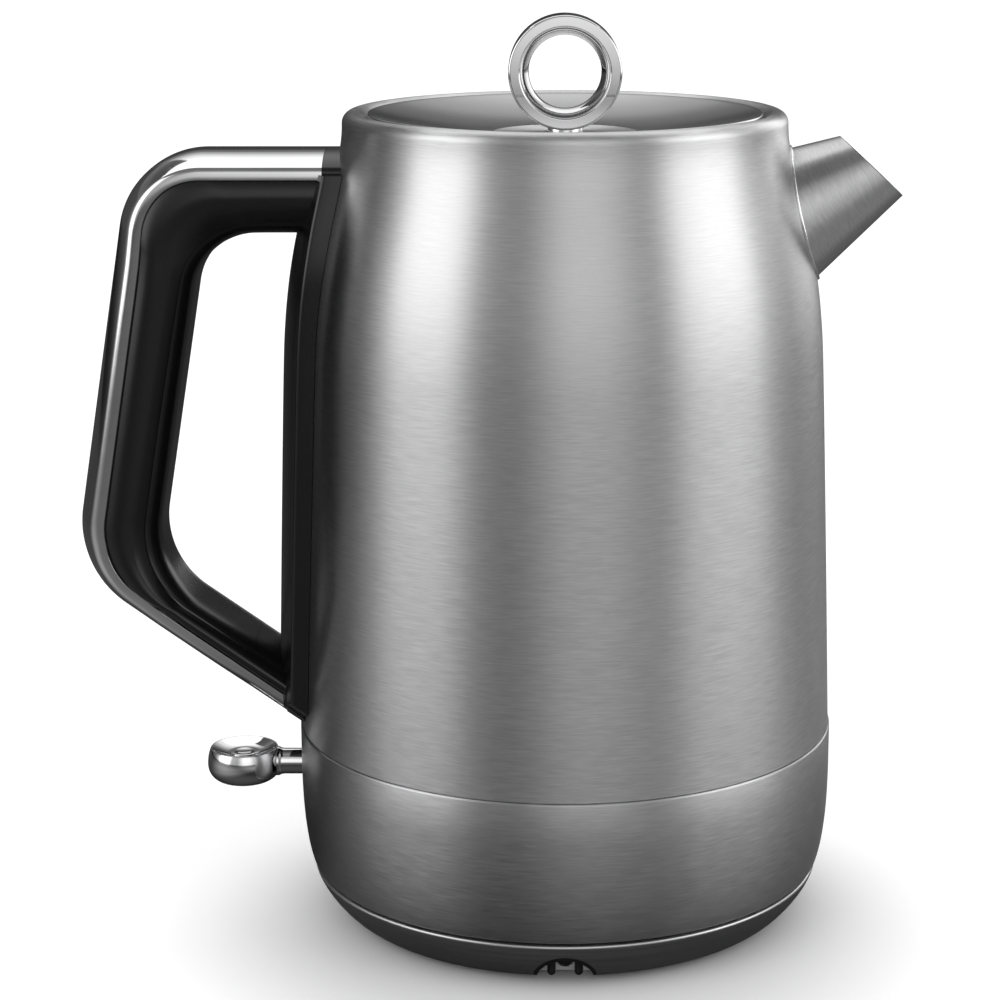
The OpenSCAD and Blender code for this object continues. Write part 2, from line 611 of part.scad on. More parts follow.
module connector_pins() color("goldenrod") {
    translate([0, 0, slot_floor + 1.4]) cylinder(r = 1.4, h = 1, $fn = 48);
    translate([0, 0, slot_floor + 2.4 - eps]) cylinder(r = 2, h = control_z - slot_floor - 2.4);
    for (r = [ring_a, ring_b]) tube(r - blade_t / 2, r + blade_t / 2, slot_floor + 1.8, cup_roof + 1.5);
}

module heating_plate() color("silver") difference() {
    union() {
        rotate_extrude() polygon([[0, heater_z - heater_t], [heater_r - heater_t, heater_z - heater_t], [heater_r - heater_t, skirt_z + 0.6],
            [heater_r, skirt_z + 0.6], [heater_r, heater_z - 0.8], [heater_r - 0.8, heater_z], [0, heater_z]]);
        around(post_ring_r, post_turn) translate([0, 0, under_z + under_t + fit])
            cylinder(r = post_r, h = heater_z - heater_t / 2 - under_z - under_t);
    }
    around(post_ring_r, post_turn) cylinder(r = pilot_r, h = under_z + 14);
    translate([-steam_x, 0, 0]) cylinder(r = steam_r + run, h = far);
}

module heat_spreader() color("lightgray")
    translate([0, 0, heater_z - heater_t - spreader_t]) cylinder(r = spreader_r, h = spreader_t);

spreader_z = heater_z - heater_t - spreader_t;
tail_len = 14;
module heating_element() color("gray") {
    rotate(35) rotate_extrude(angle = 290) translate([element_ring_r, spreader_z - element_r]) circle(r = element_r);
    for (a = [35, 325]) rotate(a) translate([element_ring_r, 0, spreader_z - element_r - tail_len]) cylinder(r = 1.8, h = tail_len);
}

module plate_seal() color("#303030") tube(heater_r - 2.4, skirt_r - sheet - fit, skirt_z - 1.4, skirt_z + 0.5);

module control_unit() color("#e8e4da") {
    difference() {
        translate([0, 0, control_z + fit]) cylinder(r = control_r, h = 12);
        for (s = [-1, 1]) translate([s * 10, 0, control_z + 10]) cylinder(r = 8.6, h = 10);
    }
    around(control_r - 4, 90, 2) translate([0, 0, control_z + 12]) cylinder(r = 3, h = spreader_z - control_z - 12);
    for (s = [-1, 1]) translate([s * 10, 0, control_z + 9]) cylinder(r = 2.5, h = spreader_z - control_z - 10.2);
}

module control_discs() color("goldenrod")
    for (s = [-1, 1]) translate([s * 10, 0, spreader_z - 1.1]) cylinder(r = 8.2, h = 0.8);

thermo_x = steam_x - 3.2;
module steam_thermostat() color("#e8e4da") difference() {
    union() {
        translate([-thermo_x, -9, under_z + under_t]) cube([14, 18, 22]);
        translate([-steam_x, 0, under_z + under_t + 20]) cylinder(r = steam_r + 1.2, h = 9);
    }
    translate([-steam_x, 0, under_z + under_t + 22]) cylinder(r = steam_r + fit, h = far);
}

module steam_disc() color("goldenrod")
    translate([-thermo_x - 0.9, 0, under_z + under_t + 12]) rotate([0, 90, 0]) cylinder(r = 7, h = 0.8);

module steam_tube() color("silver") difference() {
    translate([-steam_x, 0, under_z + under_t + 24]) cylinder(r = steam_r, h = seat_z - 9 - under_z - under_t - 24);
    translate([-steam_x, 0, 0]) cylinder(r = steam_r - 0.6, h = far * 2);
}

// ---- Switch ----

pin_r = 1.55;
ear_gap = 5.2;
module switch_bracket() color("#303030") difference() {
    x0 = pivot_x + 5.5;
    union() {
        translate([-x0, -ear_gap - 4, under_z + under_t]) cube([x0 - pivot_x + 5, 2 * ear_gap + 8, 3]);
        for (s = [-1, 1]) translate([-x0 + 1, s * (ear_gap + 1) - 1, under_z + under_t]) cube([9, 2, lever_z + 4 - under_z - under_t]);
    }
    translate([-pivot_x, 20, lever_z]) rotate([90, 0, 0]) cylinder(r = pin_r + run, h = 40);
}

module switch_pivot() color("silver")
    translate([-pivot_x, ear_gap + 3, lever_z]) rotate([90, 0, 0]) cylinder(r = pin_r, h = 2 * ear_gap + 6);

// Turned finger cup with a rounded side, a dished top and a small button in the dish
cup_outer = concat([[0, -cup_h / 2]],
    [for (i = [0:8]) bez([cup_r * 0.5, -cup_h / 2], [cup_r * 0.82, -cup_h / 2], [cup_r, -cup_h * 0.26], [cup_r, 0], i / 8)],
    [for (i = [1:6]) bez([cup_r, 0], [cup_r, cup_h * 0.2], [cup_r - 0.35, cup_h * 0.36], [cup_r - 0.9, cup_h / 2 - 0.25], i / 6)],
    [[cup_r - 1.2, cup_h / 2]]);
cup_dish = [for (i = [0:6]) bez([cup_r - 1.5, cup_h / 2 - 0.1], [cup_r - 2.4, cup_h * 0.28], [6.4, cup_h * 0.2], [4.4, cup_h * 0.2], i / 6)];
cup_button = [[4.2, cup_h * 0.32], [3.7, cup_h * 0.37], [0, cup_h * 0.38]];
cup_z = lever_z - 0.55;
stem_flare = 0.8;                   // how much wider the stem gets where it meets the cup

module cup_body(points) translate([-cup_x, 0, cup_z]) rotate_extrude() polygon(points);

module switch_lever() color("silver") difference() {
    union() {
        translate([-pivot_x, 0, lever_z]) rotate([0, -90, 0]) cylinder(r = stem_r, h = cup_x - 6 - pivot_x);
        translate([-cup_x + cup_r + 1.4, 0, lever_z]) rotate([0, -90, 0]) {
            cylinder(r1 = stem_r, r2 = stem_r + stem_flare, h = 1.6);
            translate([0, 0, 1.6]) cylinder(r = stem_r + stem_flare, h = 3);
        }
        translate([-pivot_x, ear_gap - 0.5, lever_z]) rotate([90, 0, 0]) cylinder(r = 4, h = 2 * ear_gap - 1);
        translate([-pivot_x, -3, lever_z - 1]) cube([4.2, 6, 3.5]);
    }
    translate([-pivot_x, 20, lever_z]) rotate([90, 0, 0]) cylinder(r = pin_r + run, h = 40);
    cup_body(concat(cup_outer, [[0, cup_h / 2]]));
}

module switch_cup() color("silver") cup_body(concat(cup_outer, cup_dish, cup_button));

// ---- Handle ----

// Band on the jug: its outer face is crowned about its own axis, nearer to the jug's wall
band_axis = 37;
band_top = handle_z - top_arm_t + 9;
band_flare = 6;                     // how much wider the band gets under the upper arm, on each side
band_zs = [for (i = [0:12]) arm_foot_z - 0.2 + (band_top - arm_foot_z + 0.2) * i / 12];
// It ends at the lower arm's outer line, or above the chrome strip, and spreads a little under the upper arm
band_foot = [on_arm(0, 0), on_arm(strip_end_x, 0), on_arm(strip_end_x, strip_d), on_arm(-far, strip_d)];
band_side = [[band_hw - 2, band_top], [band_hw + band_flare - 1, band_top - 3], [band_hw + band_flare, band_top - 8],
    [band_hw + band_flare * 0.75, band_top - 15], [band_hw + band_flare * 0.45, band_top - 26], [band_hw + 1.6, knee_z],
    [band_hw + 1.2, knee_z - 50], [band_hw, knee_z - 85], [band_hw, arm_foot_z - 1]];
band_outline = concat(reverse(band_side), [for (p = band_side) [-p[0], p[1]]]);
module handle_band() intersection() {
    translate([0, far / 2, 0]) rotate([90, 0, 0]) linear_extrude(far) polygon(concat(band_foot, [[-far, far * 2], [0, far * 2]]));
    translate([-band_axis, 0, 0]) rotate_extrude() polygon(concat([[0, band_zs[0]]],
        [for (z = band_zs) [jug_r(max(z, jug_z0)) + band_t - band_axis, z]], [[0, band_top]]));
    translate([-far, 0, 0]) rotate([90, 0, 90]) linear_extrude(far - band_axis) polygon(band_outline);
}

function depth(s) = norm(s[1] - s[0]);
function section(s) = let (hw = s[2], t = depth(s), d = strip_depth(s[0][1]))
    s[3] == "full" ? full_section(hw, t, d) : s[3] == "neck" ? neck_section(hw, t, d) :
    s[3] == "core" ? core_section(hw, t, d) : strip_section(hw, d);

module handle_shell() color("#161616") difference() {
    union() {
        loft([for (s = shell_stations) place(s, section(s))]);
        handle_band();
    }
    jug_body(fit);
    translate([-far, -far / 2, seam_z + 0.6 - far]) cube(far);
    for (z = stud_zs) translate([0, 0, z]) rotate([0, -90, 0]) cylinder(r = stud_r + run, h = jug_r(z) + stud_len + fit);
}

module handle_strip() color("silver") loft([for (s = strip_stations) place(s, strip_section(s[2], strip_depth(s[0][1])))]);

module handle_cover() color("#161616") loft([for (s = cover_stations) place(s, cover_section(s[2], depth(s)))]);

// Studs that hold the handle to the jug, with their heads inside
stud_r = 1.5;
stud_len = 4.6;
stud_zs = [90, 180];
module handle_studs() color("silver") for (z = stud_zs) translate([0, 0, z]) rotate([0, -90, 0]) {
    translate([0, 0, jug_r(z) - sheet - 1.6]) cylinder(r = 3.4, h = 1.1);
    translate([0, 0, jug_r(z) - sheet - 0.6]) cylinder(r = stud_r, h = sheet + 0.6 + stud_len);
}

// ---- Lid ----

// The dish falls from the edge to the centre disc on one smooth curve
dish_top = [for (i = [0:12]) let (t = i / 12) [disc_r + 0.1 + (lid_r - 1.2 - disc_r) * t, lid_disc_z + (lid_dish - 0.1) * t ^ 1.55]];
lid_skirt_z = lid_z - lid_skirt;
module lid_plate() color("silver") difference() {
    rotate_extrude() polygon(concat(
        [[0, lid_disc_z - lid_t], [0, lid_disc_z - 0.4], [disc_r + 0.1, lid_disc_z - 0.4]], dish_top,
        [[lid_r - 0.7, lid_z], [lid_r - 0.2, lid_z - 0.2], [lid_r, lid_z - 0.7], [lid_r, lid_skirt_z], [lid_r - lid_t, lid_skirt_z],
         [lid_r - lid_t, lid_z - lid_t - 1.6]],
        reverse([for (i = [0:10]) [dish_top[i][0], dish_top[i][1] - lid_t]])));
    cylinder(r = lid_screw_r + fit, h = far * 2);
}

module lid_disc() color("silver") difference() {
    translate([0, 0, lid_disc_z - 0.35]) cylinder(r1 = disc_r, r2 = disc_r - 0.2, h = 0.55);
    cylinder(r = lid_screw_r + fit, h = far * 2);
}

module lid_pedestal() color("silver") difference() {
    translate([0, 0, lid_disc_z + 0.2]) cylinder(r = pedestal_r, h = pedestal_z - lid_disc_z - 0.2);
    rotate(ring_turn) translate([0, far / 2, ring_z]) rotate([90, 0, 0]) cylinder(r = ring_r, h = far);
    cylinder(r = lid_screw_r + fit, h = far * 2);
}

// Ring handle: flat faces, a small step, and an inside that bulges to the finger hole
module lid_ring() color("silver") difference() {
    half = ring_d / 2;
    bulge = ring_face_r - 0.4 - ring_hole_r;
    reach = half - 0.5;
    bow = (reach ^ 2 + bulge ^ 2) / (2 * bulge);
    rotate(ring_turn) translate([0, 0, ring_z]) rotate([90, 0, 0]) rotate_extrude() difference() {
        polygon([[ring_hole_r - 1, -reach], [ring_face_r - 0.2, -reach], [ring_face_r, -half], [ring_r - 0.6, -half], [ring_r - 0.15, -half + 0.3],
            [ring_r, -half + 0.9], [ring_r, half - 0.9], [ring_r - 0.15, half - 0.3], [ring_r - 0.6, half],
            [ring_face_r, half], [ring_face_r - 0.2, reach], [ring_hole_r - 1, reach]]);
        difference() {
            translate([0, -half]) square([ring_face_r - 0.4, ring_d]);
            translate([ring_hole_r + bow, 0]) circle(r = bow);
        }
    }
    translate([0, 0, ring_z - ring_r - 1]) cylinder(r = lid_screw_r + run, h = 1 + lid_screw_bite + fit);
}

// Plastic plug under the lid, with steam holes on its side
lid_screw_bite = 3.6;
plug_hole_r = 2;
module lid_plug() color("#303030") difference() {
    under = lid_disc_z - lid_t - fit;
    rotate_extrude() polygon([[0, plug_z], [plug_r - 1, plug_z], [plug_r, plug_z + 1], [plug_r, plug_z + 2.4], [plug_r - 1.2, plug_z + 2.4],
        [plug_r - 1.2, plug_z + 5.2], [plug_r, plug_z + 5.2],
        [plug_r, seat_z + 0.9], [lid_r - lid_t - free, seat_z + 0.9], [lid_r - lid_t - free, seat_z + 2.4], [plug_r - 2, seat_z + 2.4],
        [plug_r - 2, plug_z + 1.8], [6, plug_z + 1.8], [6, under], [0, under]]);
    around(plug_r - 8, 180, 6) cylinder(r = plug_hole_r, h = far * 2);
    cylinder(r = lid_screw_r + fit, h = far * 2);
    cylinder(r = screw_head_r + fit, h = plug_z + 2);
}

module lid_seal() color("#404040") tube(plug_r - 1.1, seat_r - free, plug_z + 2.5, plug_z + 5.1);

module lid_screw() color("silver") {
    translate([0, 0, plug_z + 0.4]) difference() {
        cylinder(r = screw_head_r, h = screw_head_h);
        for (a = [0, 90]) rotate(a) translate([-1.6, -0.35, -eps]) cube([3.2, 0.7, 0.9]);
    }
    translate([0, 0, plug_z + 0.4 + screw_head_h - eps])
        cylinder(r = lid_screw_r, h = ring_z - ring_r + lid_screw_bite - plug_z - 0.4 - screw_head_h);
}

base_cover();
base_bottom();
base_foot_ring();
base_screws();
cord_outlet();
base_socket();
socket_contacts();
socket_shutter();
jug_shell();
lower_collar();
spout();
spout_bead();
spout_strainer();
lid_seat();
kettle_bottom();
bottom_screws();
kettle_connector();
connector_pins();
heating_plate();
heat_spreader();
heating_element();
plate_seal();
control_unit();
control_discs();
steam_thermostat();
steam_disc();
steam_tube();
switch_bracket();
switch_pivot();
switch_lever();
switch_cup();
handle_shell();
handle_strip();
handle_cover();
handle_studs();
lid_plate();
lid_disc();
lid_pedestal();
lid_ring();
lid_plug();
lid_seal();
lid_screw();
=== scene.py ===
import math

import bmesh
import bpy
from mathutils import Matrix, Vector


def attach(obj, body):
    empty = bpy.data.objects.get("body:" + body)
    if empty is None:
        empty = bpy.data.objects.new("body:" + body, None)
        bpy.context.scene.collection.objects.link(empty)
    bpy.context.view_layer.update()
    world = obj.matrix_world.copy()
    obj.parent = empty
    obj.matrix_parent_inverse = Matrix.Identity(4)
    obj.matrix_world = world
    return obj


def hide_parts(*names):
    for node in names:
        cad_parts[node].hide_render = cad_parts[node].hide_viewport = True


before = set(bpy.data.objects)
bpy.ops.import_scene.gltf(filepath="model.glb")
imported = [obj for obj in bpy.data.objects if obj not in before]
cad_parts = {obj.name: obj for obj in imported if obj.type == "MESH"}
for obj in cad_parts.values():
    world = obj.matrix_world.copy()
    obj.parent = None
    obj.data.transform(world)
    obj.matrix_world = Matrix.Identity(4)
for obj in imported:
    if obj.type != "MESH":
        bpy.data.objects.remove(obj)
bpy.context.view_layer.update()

# ---- Camera, tabletop and studio ----
# A pale tabletop that runs into a white surround, seen from a little above the lid, its glow dimmed round the kettle's
# foot as a painted shadow. The metal mirrors a graded studio
# wall: tall white panels to the left and right, grey between them, dark behind the handle, and below it a dark disc,
# darkest close to the kettle, painted shade in place of the lit floor.
camera_data = bpy.data.cameras.new("camera")
camera = bpy.data.objects.new("camera", camera_data)
bpy.context.scene.collection.objects.link(camera)
camera.location = (0, -0.7404, 0.3023)
camera.rotation_euler = (math.radians(76.08), 0, 0)
camera_data.sensor_width = 36
camera_data.lens = 96.9
camera_data.shift_x = -0.0651
bpy.context.scene.camera = camera
bpy.context.scene.view_settings.view_transform = "Standard"


def new_material(name):
    material = bpy.data.materials.new(name)
    material.use_nodes = True
    nodes = material.node_tree.nodes
    return material, nodes, material.node_tree.links, nodes["Principled BSDF"]


def seen_directly(nodes, links):
    """The part of the rays that come from the camera, or from metal or glass."""
    path = nodes.new("ShaderNodeLightPath")
    total = path.outputs["Is Camera Ray"]
    for kind in ("Is Glossy Ray", "Is Transmission Ray"):
        add = nodes.new("ShaderNodeMath")
        add.operation = "MAXIMUM"
        links.new(total, add.inputs[0])
        links.new(path.outputs[kind], add.inputs[1])
        total = add.outputs[0]
    return total


world = bpy.data.worlds.new("studio")
world.use_nodes = True
bpy.context.scene.world = world
nodes, links = world.node_tree.nodes, world.node_tree.links
surround = nodes["Background"]
strength = nodes.new("ShaderNodeMapRange")
strength.inputs["To Min"].default_value = 0.85
strength.inputs["To Max"].default_value = 1.0
links.new(seen_directly(nodes, links), strength.inputs["Value"])
surround.inputs["Color"].default_value = (1, 1, 1, 1)
links.new(strength.outputs["Result"], surround.inputs["Strength"])

bpy.ops.mesh.primitive_plane_add(size=12, location=(0, 0, 0))
floor = bpy.context.object
floor.name = "floor"
material, nodes, links, shader = new_material("pale tabletop with painted shadow")
shader.inputs["Base Color"].default_value = (0.88, 0.88, 0.88, 1)
shader.inputs["Roughness"].default_value = 0.9
shader.inputs["Specular IOR Level"].default_value = 0
# The floor's glow for camera and metal rays is weak within about 55 mm of a point just in front of the kettle's axis
# and full beyond 125 mm: a painted shadow round the kettle's foot, on top of the floor's real shadow.
place = nodes.new("ShaderNodeTexCoord")
reach = nodes.new("ShaderNodeVectorMath")
reach.operation = "DISTANCE"
reach.inputs[1].default_value = (0, -0.03, 0)
links.new(place.outputs["Object"], reach.inputs[0])
share = nodes.new("ShaderNodeMapRange")
share.interpolation_type = "SMOOTHSTEP"
share.inputs["From Min"].default_value, share.inputs["From Max"].default_value = 0.055, 0.125
share.inputs["To Min"].default_value, share.inputs["To Max"].default_value = 0.02, 0.37
links.new(reach.outputs["Value"], share.inputs["Value"])
glow_dimmed_for_painted_shadow = nodes.new("ShaderNodeMath")
glow_dimmed_for_painted_shadow.operation = "MULTIPLY"
links.new(share.outputs["Result"], glow_dimmed_for_painted_shadow.inputs[0])
links.new(seen_directly(nodes, links), glow_dimmed_for_painted_shadow.inputs[1])
glow = nodes.new("ShaderNodeEmission")
links.new(glow_dimmed_for_painted_shadow.outputs[0], glow.inputs["Strength"])
mix = nodes.new("ShaderNodeAddShader")
links.new(shader.outputs[0], mix.inputs[0])
links.new(glow.outputs[0], mix.inputs[1])
links.new(mix.outputs[0], nodes["Material Output"].inputs["Surface"])
floor.data.materials.append(material)


def only_in_metal(piece):
    """A studio card that nothing but a polished surface shows."""
    piece.visible_camera = False
    piece.visible_diffuse = False
    piece.visible_shadow = False
    piece.visible_transmission = False


def card_greys(name, stops, measure, levels):
    """A card's light: a grey by the angle from the camera's side, times a level by height, reach or depth."""
    material = bpy.data.materials.new(name)
    material.use_nodes = True
    nodes, links = material.node_tree.nodes, material.node_tree.links
    nodes.clear()
    place = nodes.new("ShaderNodeTexCoord")
    parts = nodes.new("ShaderNodeSeparateXYZ")
    links.new(place.outputs["Object"], parts.inputs[0])
    back = nodes.new("ShaderNodeMath")
    back.operation = "MULTIPLY"
    back.inputs[1].default_value = -1
    links.new(parts.outputs["Y"], back.inputs[0])
    turn = nodes.new("ShaderNodeMath")
    turn.operation = "ARCTAN2"
    links.new(parts.outputs["X"], turn.inputs[0])
    links.new(back.outputs[0], turn.inputs[1])
    reach = nodes.new("ShaderNodeVectorMath")
    reach.operation = "LENGTH"
    links.new(place.outputs["Object"], reach.inputs[0])

    def graded(value, low, high, points):
        share = nodes.new("ShaderNodeMapRange")
        share.inputs["From Min"].default_value, share.inputs["From Max"].default_value = low, high
        links.new(value, share.inputs["Value"])
        ramp = nodes.new("ShaderNodeValToRGB")
        ramp.color_ramp.interpolation = "EASE"
        while len(ramp.color_ramp.elements) < len(points):
            ramp.color_ramp.elements.new(0.5)
        for stop, (spot, grey) in zip(ramp.color_ramp.elements, points):
            stop.position = (spot - low) / (high - low)
            stop.color = (grey, grey, grey, 1)
        links.new(share.outputs["Result"], ramp.inputs["Fac"])
        return ramp.outputs["Color"]

    glow = nodes.new("ShaderNodeEmission")
    degrees = nodes.new("ShaderNodeMath")
    degrees.operation = "DEGREES"
    links.new(turn.outputs[0], degrees.inputs[0])
    links.new(graded(degrees.outputs[0], -180, 180, stops), glow.inputs["Color"])
    measured = {"height": parts.outputs["Z"], "depth": parts.outputs["Y"], "reach": reach.outputs["Value"]}[measure]
    links.new(graded(measured, levels[0][0], levels[-1][0], levels), glow.inputs["Strength"])
    output = nodes.new("ShaderNodeOutputMaterial")
    links.new(glow.outputs[0], output.inputs["Surface"])
    return material


def thrown_away(card, unwanted):
    """Deletes a card's faces by their angle from the camera's side and their height."""
    bpy.ops.object.mode_set(mode="EDIT")
    bpy.ops.mesh.select_mode(type="FACE")
    bpy.ops.mesh.select_all(action="DESELECT")
    bpy.ops.object.mode_set(mode="OBJECT")
    for face in card.data.polygons:
        face.select = unwanted(math.degrees(math.atan2(abs(face.center.x), -face.center.y)), face.center.z)
    bpy.ops.object.mode_set(mode="EDIT")
    bpy.ops.mesh.delete(type="FACE")
    bpy.ops.object.mode_set(mode="OBJECT")


studio_radius, wall_low, wall_seam, wall_top = 1.6, 0.48, 0.72, 1.9
back_angle = 152


def round_card(name, low, high, stops, levels, seams=()):
    """A length of the studio's round wall, with seams at the heights asked for."""
    bpy.ops.mesh.primitive_cylinder_add(vertices=96, radius=studio_radius, depth=high - low, end_fill_type="NOTHING",
        location=(0, 0, (low + high) / 2))
    card = bpy.context.object
    card.name = name
    only_in_metal(card)
    bpy.ops.object.transform_apply(location=True)
    bpy.ops.object.mode_set(mode="EDIT")
    for seam in seams:
        bpy.ops.mesh.select_all(action="SELECT")
        bpy.ops.mesh.bisect(plane_co=(0, 0, seam), plane_no=(0, 0, 1))
    bpy.ops.mesh.select_all(action="DESELECT")
    bpy.ops.object.mode_set(mode="OBJECT")
    card.data.materials.append(card_greys(name.replace("_", " "), stops, "height", levels))
    return card


front = [(-104, 0.07), (-96, 0.14), (-88, 0.32), (-77, 1.0), (-54, 1.0), (-36, 0.22), (-22, 0.19), (4, 0.55),
    (16, 0.52), (41, 0.23), (60, 0.9), (74, 1.0), (88, 1.0), (101, 0.42), (116, 0.31), (130, 0.55), (142, 0.78)]
foot_strip = 0.1
wall = round_card("studio_wall", 0, wall_seam,
    [(-176, 0.02), (-122, 0.03)] + front + [(152, 0.6), (160, 0.2), (170, 0.03)],
    [(0, 0.35), (0.05, 0.5), (0.16, 2.2), (wall_seam, 2.5)], (foot_strip, wall_low))
thrown_away(wall, lambda angle, height: angle > 168 and height < foot_strip or angle > back_angle and height > wall_low)
upper_wall = round_card("studio_upper_wall", wall_seam, wall_top, [(-180, 0.1), (-122, 0.06)] + front + [(180, 0.5)],
    [(wall_seam, 2.5), (0.95, 2.3), (1.25, 1.5), (wall_top, 1.2)])
thrown_away(upper_wall, lambda angle, height: angle > back_angle)
back_card = round_card("studio_back_card", wall_low, wall_top, [(-180, 1), (180, 1)],
    [(wall_low, 0.07), (0.6, 0.16), (0.74, 0.2), (0.95, 0.5), (1.4, 1.0), (wall_top, 1.4)])
thrown_away(back_card, lambda angle, height: angle < back_angle)
bpy.ops.mesh.primitive_circle_add(vertices=96, radius=studio_radius, fill_type="TRIFAN", location=(0, 0, 0))
ceiling = bpy.context.object
ceiling.name = "studio_ceiling"
bpy.ops.object.mode_set(mode="EDIT")
bpy.ops.transform.translate(value=(0, 0, wall_top))
bpy.ops.object.mode_set(mode="OBJECT")
only_in_metal(ceiling)
ceiling.data.materials.append(card_greys("studio ceiling", [(-180, 1), (180, 1)], "depth",
    [(-studio_radius, 0.22), (-0.1, 0.17), (0.05, 0.3), (0.25, 1.5), (studio_radius, 1.4)]))

# A disc just above the floor that only the metal shows: dark grey, darkest within about 0.12 m of the kettle's axis. It
# is painted shade in the reflections, where the lit floor would be.
bpy.ops.mesh.primitive_circle_add(vertices=96, radius=studio_radius, fill_type="TRIFAN", location=(0, 0, 0.0004))
floor_shade_in_metal = bpy.context.object
floor_shade_in_metal.name = "studio_table_edge"
only_in_metal(floor_shade_in_metal)
floor_shade_in_metal.data.materials.append(card_greys("studio floor shade in metal",
    [(-170, 0.2), (-110, 0.2), (-70, 1.1), (-25, 0.5), (15, 0.95), (50, 1.0), (85, 1.2), (120, 0.6), (170, 0.2)],
    "reach", [(0, 0.04), (0.12, 0.07), (0.2, 0.25), (0.3, 0.34), (0.5, 0.3), (0.8, 0.26), (studio_radius, 0.26)]))

for name, size, spot, power in (("key_left", 0.9, (-0.9, -0.9, 1.1), 2.5), ("key_right", 0.9, (1.1, -0.5, 1.0), 2.5)):
    lamp_data = bpy.data.lights.new(name, "AREA")
    lamp_data.size = size
    lamp_data.energy = power
    lamp = bpy.data.objects.new(name, lamp_data)
    bpy.context.scene.collection.objects.link(lamp)
    lamp.location = spot
    lamp.rotation_euler = (Vector(spot) - Vector((0, 0, 0.12))).to_track_quat("Z", "Y").to_euler()
    lamp.visible_glossy = False


# ---- Power base ----
# The round base that stays on the table: one moulded cover with a dish in its top, dark satin metallic finish, and a
# lip turned bright where the kettle's collar sits on it. The arch in front lets the cord out.
mm = 0.001


def draw(name, points, closed=True):
    """A line of edges in the plane y = 0, given in mm as (x, z), drawn by extruding one corner again and again."""
    bpy.ops.object.select_all(action="DESELECT")
    bpy.ops.mesh.primitive_plane_add(size=mm, location=(0, 0, 0))
    piece = bpy.context.object
    piece.name = name
    bpy.ops.object.mode_set(mode="EDIT")
    bpy.ops.mesh.select_mode(type="VERT")
    bpy.ops.mesh.select_all(action="SELECT")
    bpy.ops.mesh.merge(type="CENTER")
    corners = [Vector((x, 0, z)) * mm for x, z in points]
    bpy.ops.transform.translate(value=corners[0])
    for here, there in zip(corners, corners[1:] + (corners[:1] if closed else [])):
        bpy.ops.mesh.extrude_region_move(TRANSFORM_OT_translate={"value": there - here})
    bpy.ops.mesh.select_all(action="SELECT")
    bpy.ops.mesh.remove_doubles(threshold=1e-6)
    return piece


def turned(name, points, steps=192, centre=(0, 0, 0), axis=(0, 0, 1)):
    """A turned solid: the closed outline is drawn, then spun once round the axis."""
    piece = draw(name, points)
    bpy.ops.mesh.select_all(action="SELECT")
    bpy.ops.mesh.spin(steps=steps, angle=math.tau, center=Vector(centre) * mm, axis=axis)
    bpy.ops.mesh.select_all(action="SELECT")
    bpy.ops.mesh.remove_doubles(threshold=1e-6)
    bpy.ops.mesh.normals_make_consistent(inside=False)
    bpy.ops.object.mode_set(mode="OBJECT")
    return piece


def cut_with(piece, cutter, operation="DIFFERENCE"):
    """Cuts one solid with another and throws the cutter away."""
    trim = piece.modifiers.new("trim", "BOOLEAN")
    trim.operation = operation
    trim.object = cutter
    bpy.ops.object.select_all(action="DESELECT")
    bpy.context.view_layer.objects.active = piece
    bpy.ops.object.modifier_apply(modifier=trim.name)
    bpy.data.objects.remove(cutter)


def curve(a, b, c, d, steps, ends=(0, 1)):
    """Points of a cubic curve with the corners a and d and the handles b and c."""
    shares = [ends[0] + (ends[1] - ends[0]) * i / steps for i in range(steps + 1)]
    return [tuple((1 - t) ** 3 * p + 3 * (1 - t) ** 2 * t * q + 3 * (1 - t) * t * t * r + t ** 3 * s
        for p, q, r, s in zip(a, b, c, d)) for t in shares]


def bow(centre, radius, start, end, steps):
    """Points of an arc, by angles in degrees."""
    return [(centre[0] + radius * math.cos(math.radians(start + (end - start) * i / steps)),
        centre[1] + radius * math.sin(math.radians(start + (end - start) * i / steps))) for i in range(steps + 1)]


def fix(piece, body, slot, material, *nodes, crease=32):
    """Gives a finished piece its smooth shading, its material, its body and the solids it stands for."""
    bpy.ops.object.select_all(action="DESELECT")
    piece.select_set(True)
    bpy.context.view_layer.objects.active = piece
    bpy.ops.object.shade_smooth_by_angle(angle=math.radians(crease))
    piece.data.materials.clear()
    piece.data.materials.append(material)
    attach(piece, body)
    if nodes:
        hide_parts(*nodes)


def finish_nodes(material, *names):
    """Gives solids that are shown as they are their material."""
    for name in names:
        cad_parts[name].data.materials.clear()
        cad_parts[name].data.materials.append(material)


def speckle(nodes, links, scale, stretch=(1, 1, 1), detail=3, turn=(0, 0, 0)):
    """A fine noise on the piece's own coordinates, stretched into lines where asked."""
    place = nodes.new("ShaderNodeTexCoord")
    frame_turn = nodes.new("ShaderNodeMapping")
    frame_turn.inputs["Rotation"].default_value = turn
    links.new(place.outputs["Object"], frame_turn.inputs["Vector"])
    pull = nodes.new("ShaderNodeMapping")
    pull.inputs["Scale"].default_value = stretch
    links.new(frame_turn.outputs[0], pull.inputs["Vector"])
    noise = nodes.new("ShaderNodeTexNoise")
    noise.inputs["Scale"].default_value = scale
    noise.inputs["Detail"].default_value = detail
    links.new(pull.outputs[0], noise.inputs["Vector"])
    return noise.outputs["Fac"]


def spread(nodes, links, value, low, high, source=(0.3, 0.7)):
    """Turns a noise into a number between low and high."""
    level = nodes.new("ShaderNodeMapRange")
    level.inputs["From Min"].default_value, level.inputs["From Max"].default_value = source
    level.inputs["To Min"].default_value, level.inputs["To Max"].default_value = low, high
    links.new(value, level.inputs["Value"])
    return level.outputs["Result"]


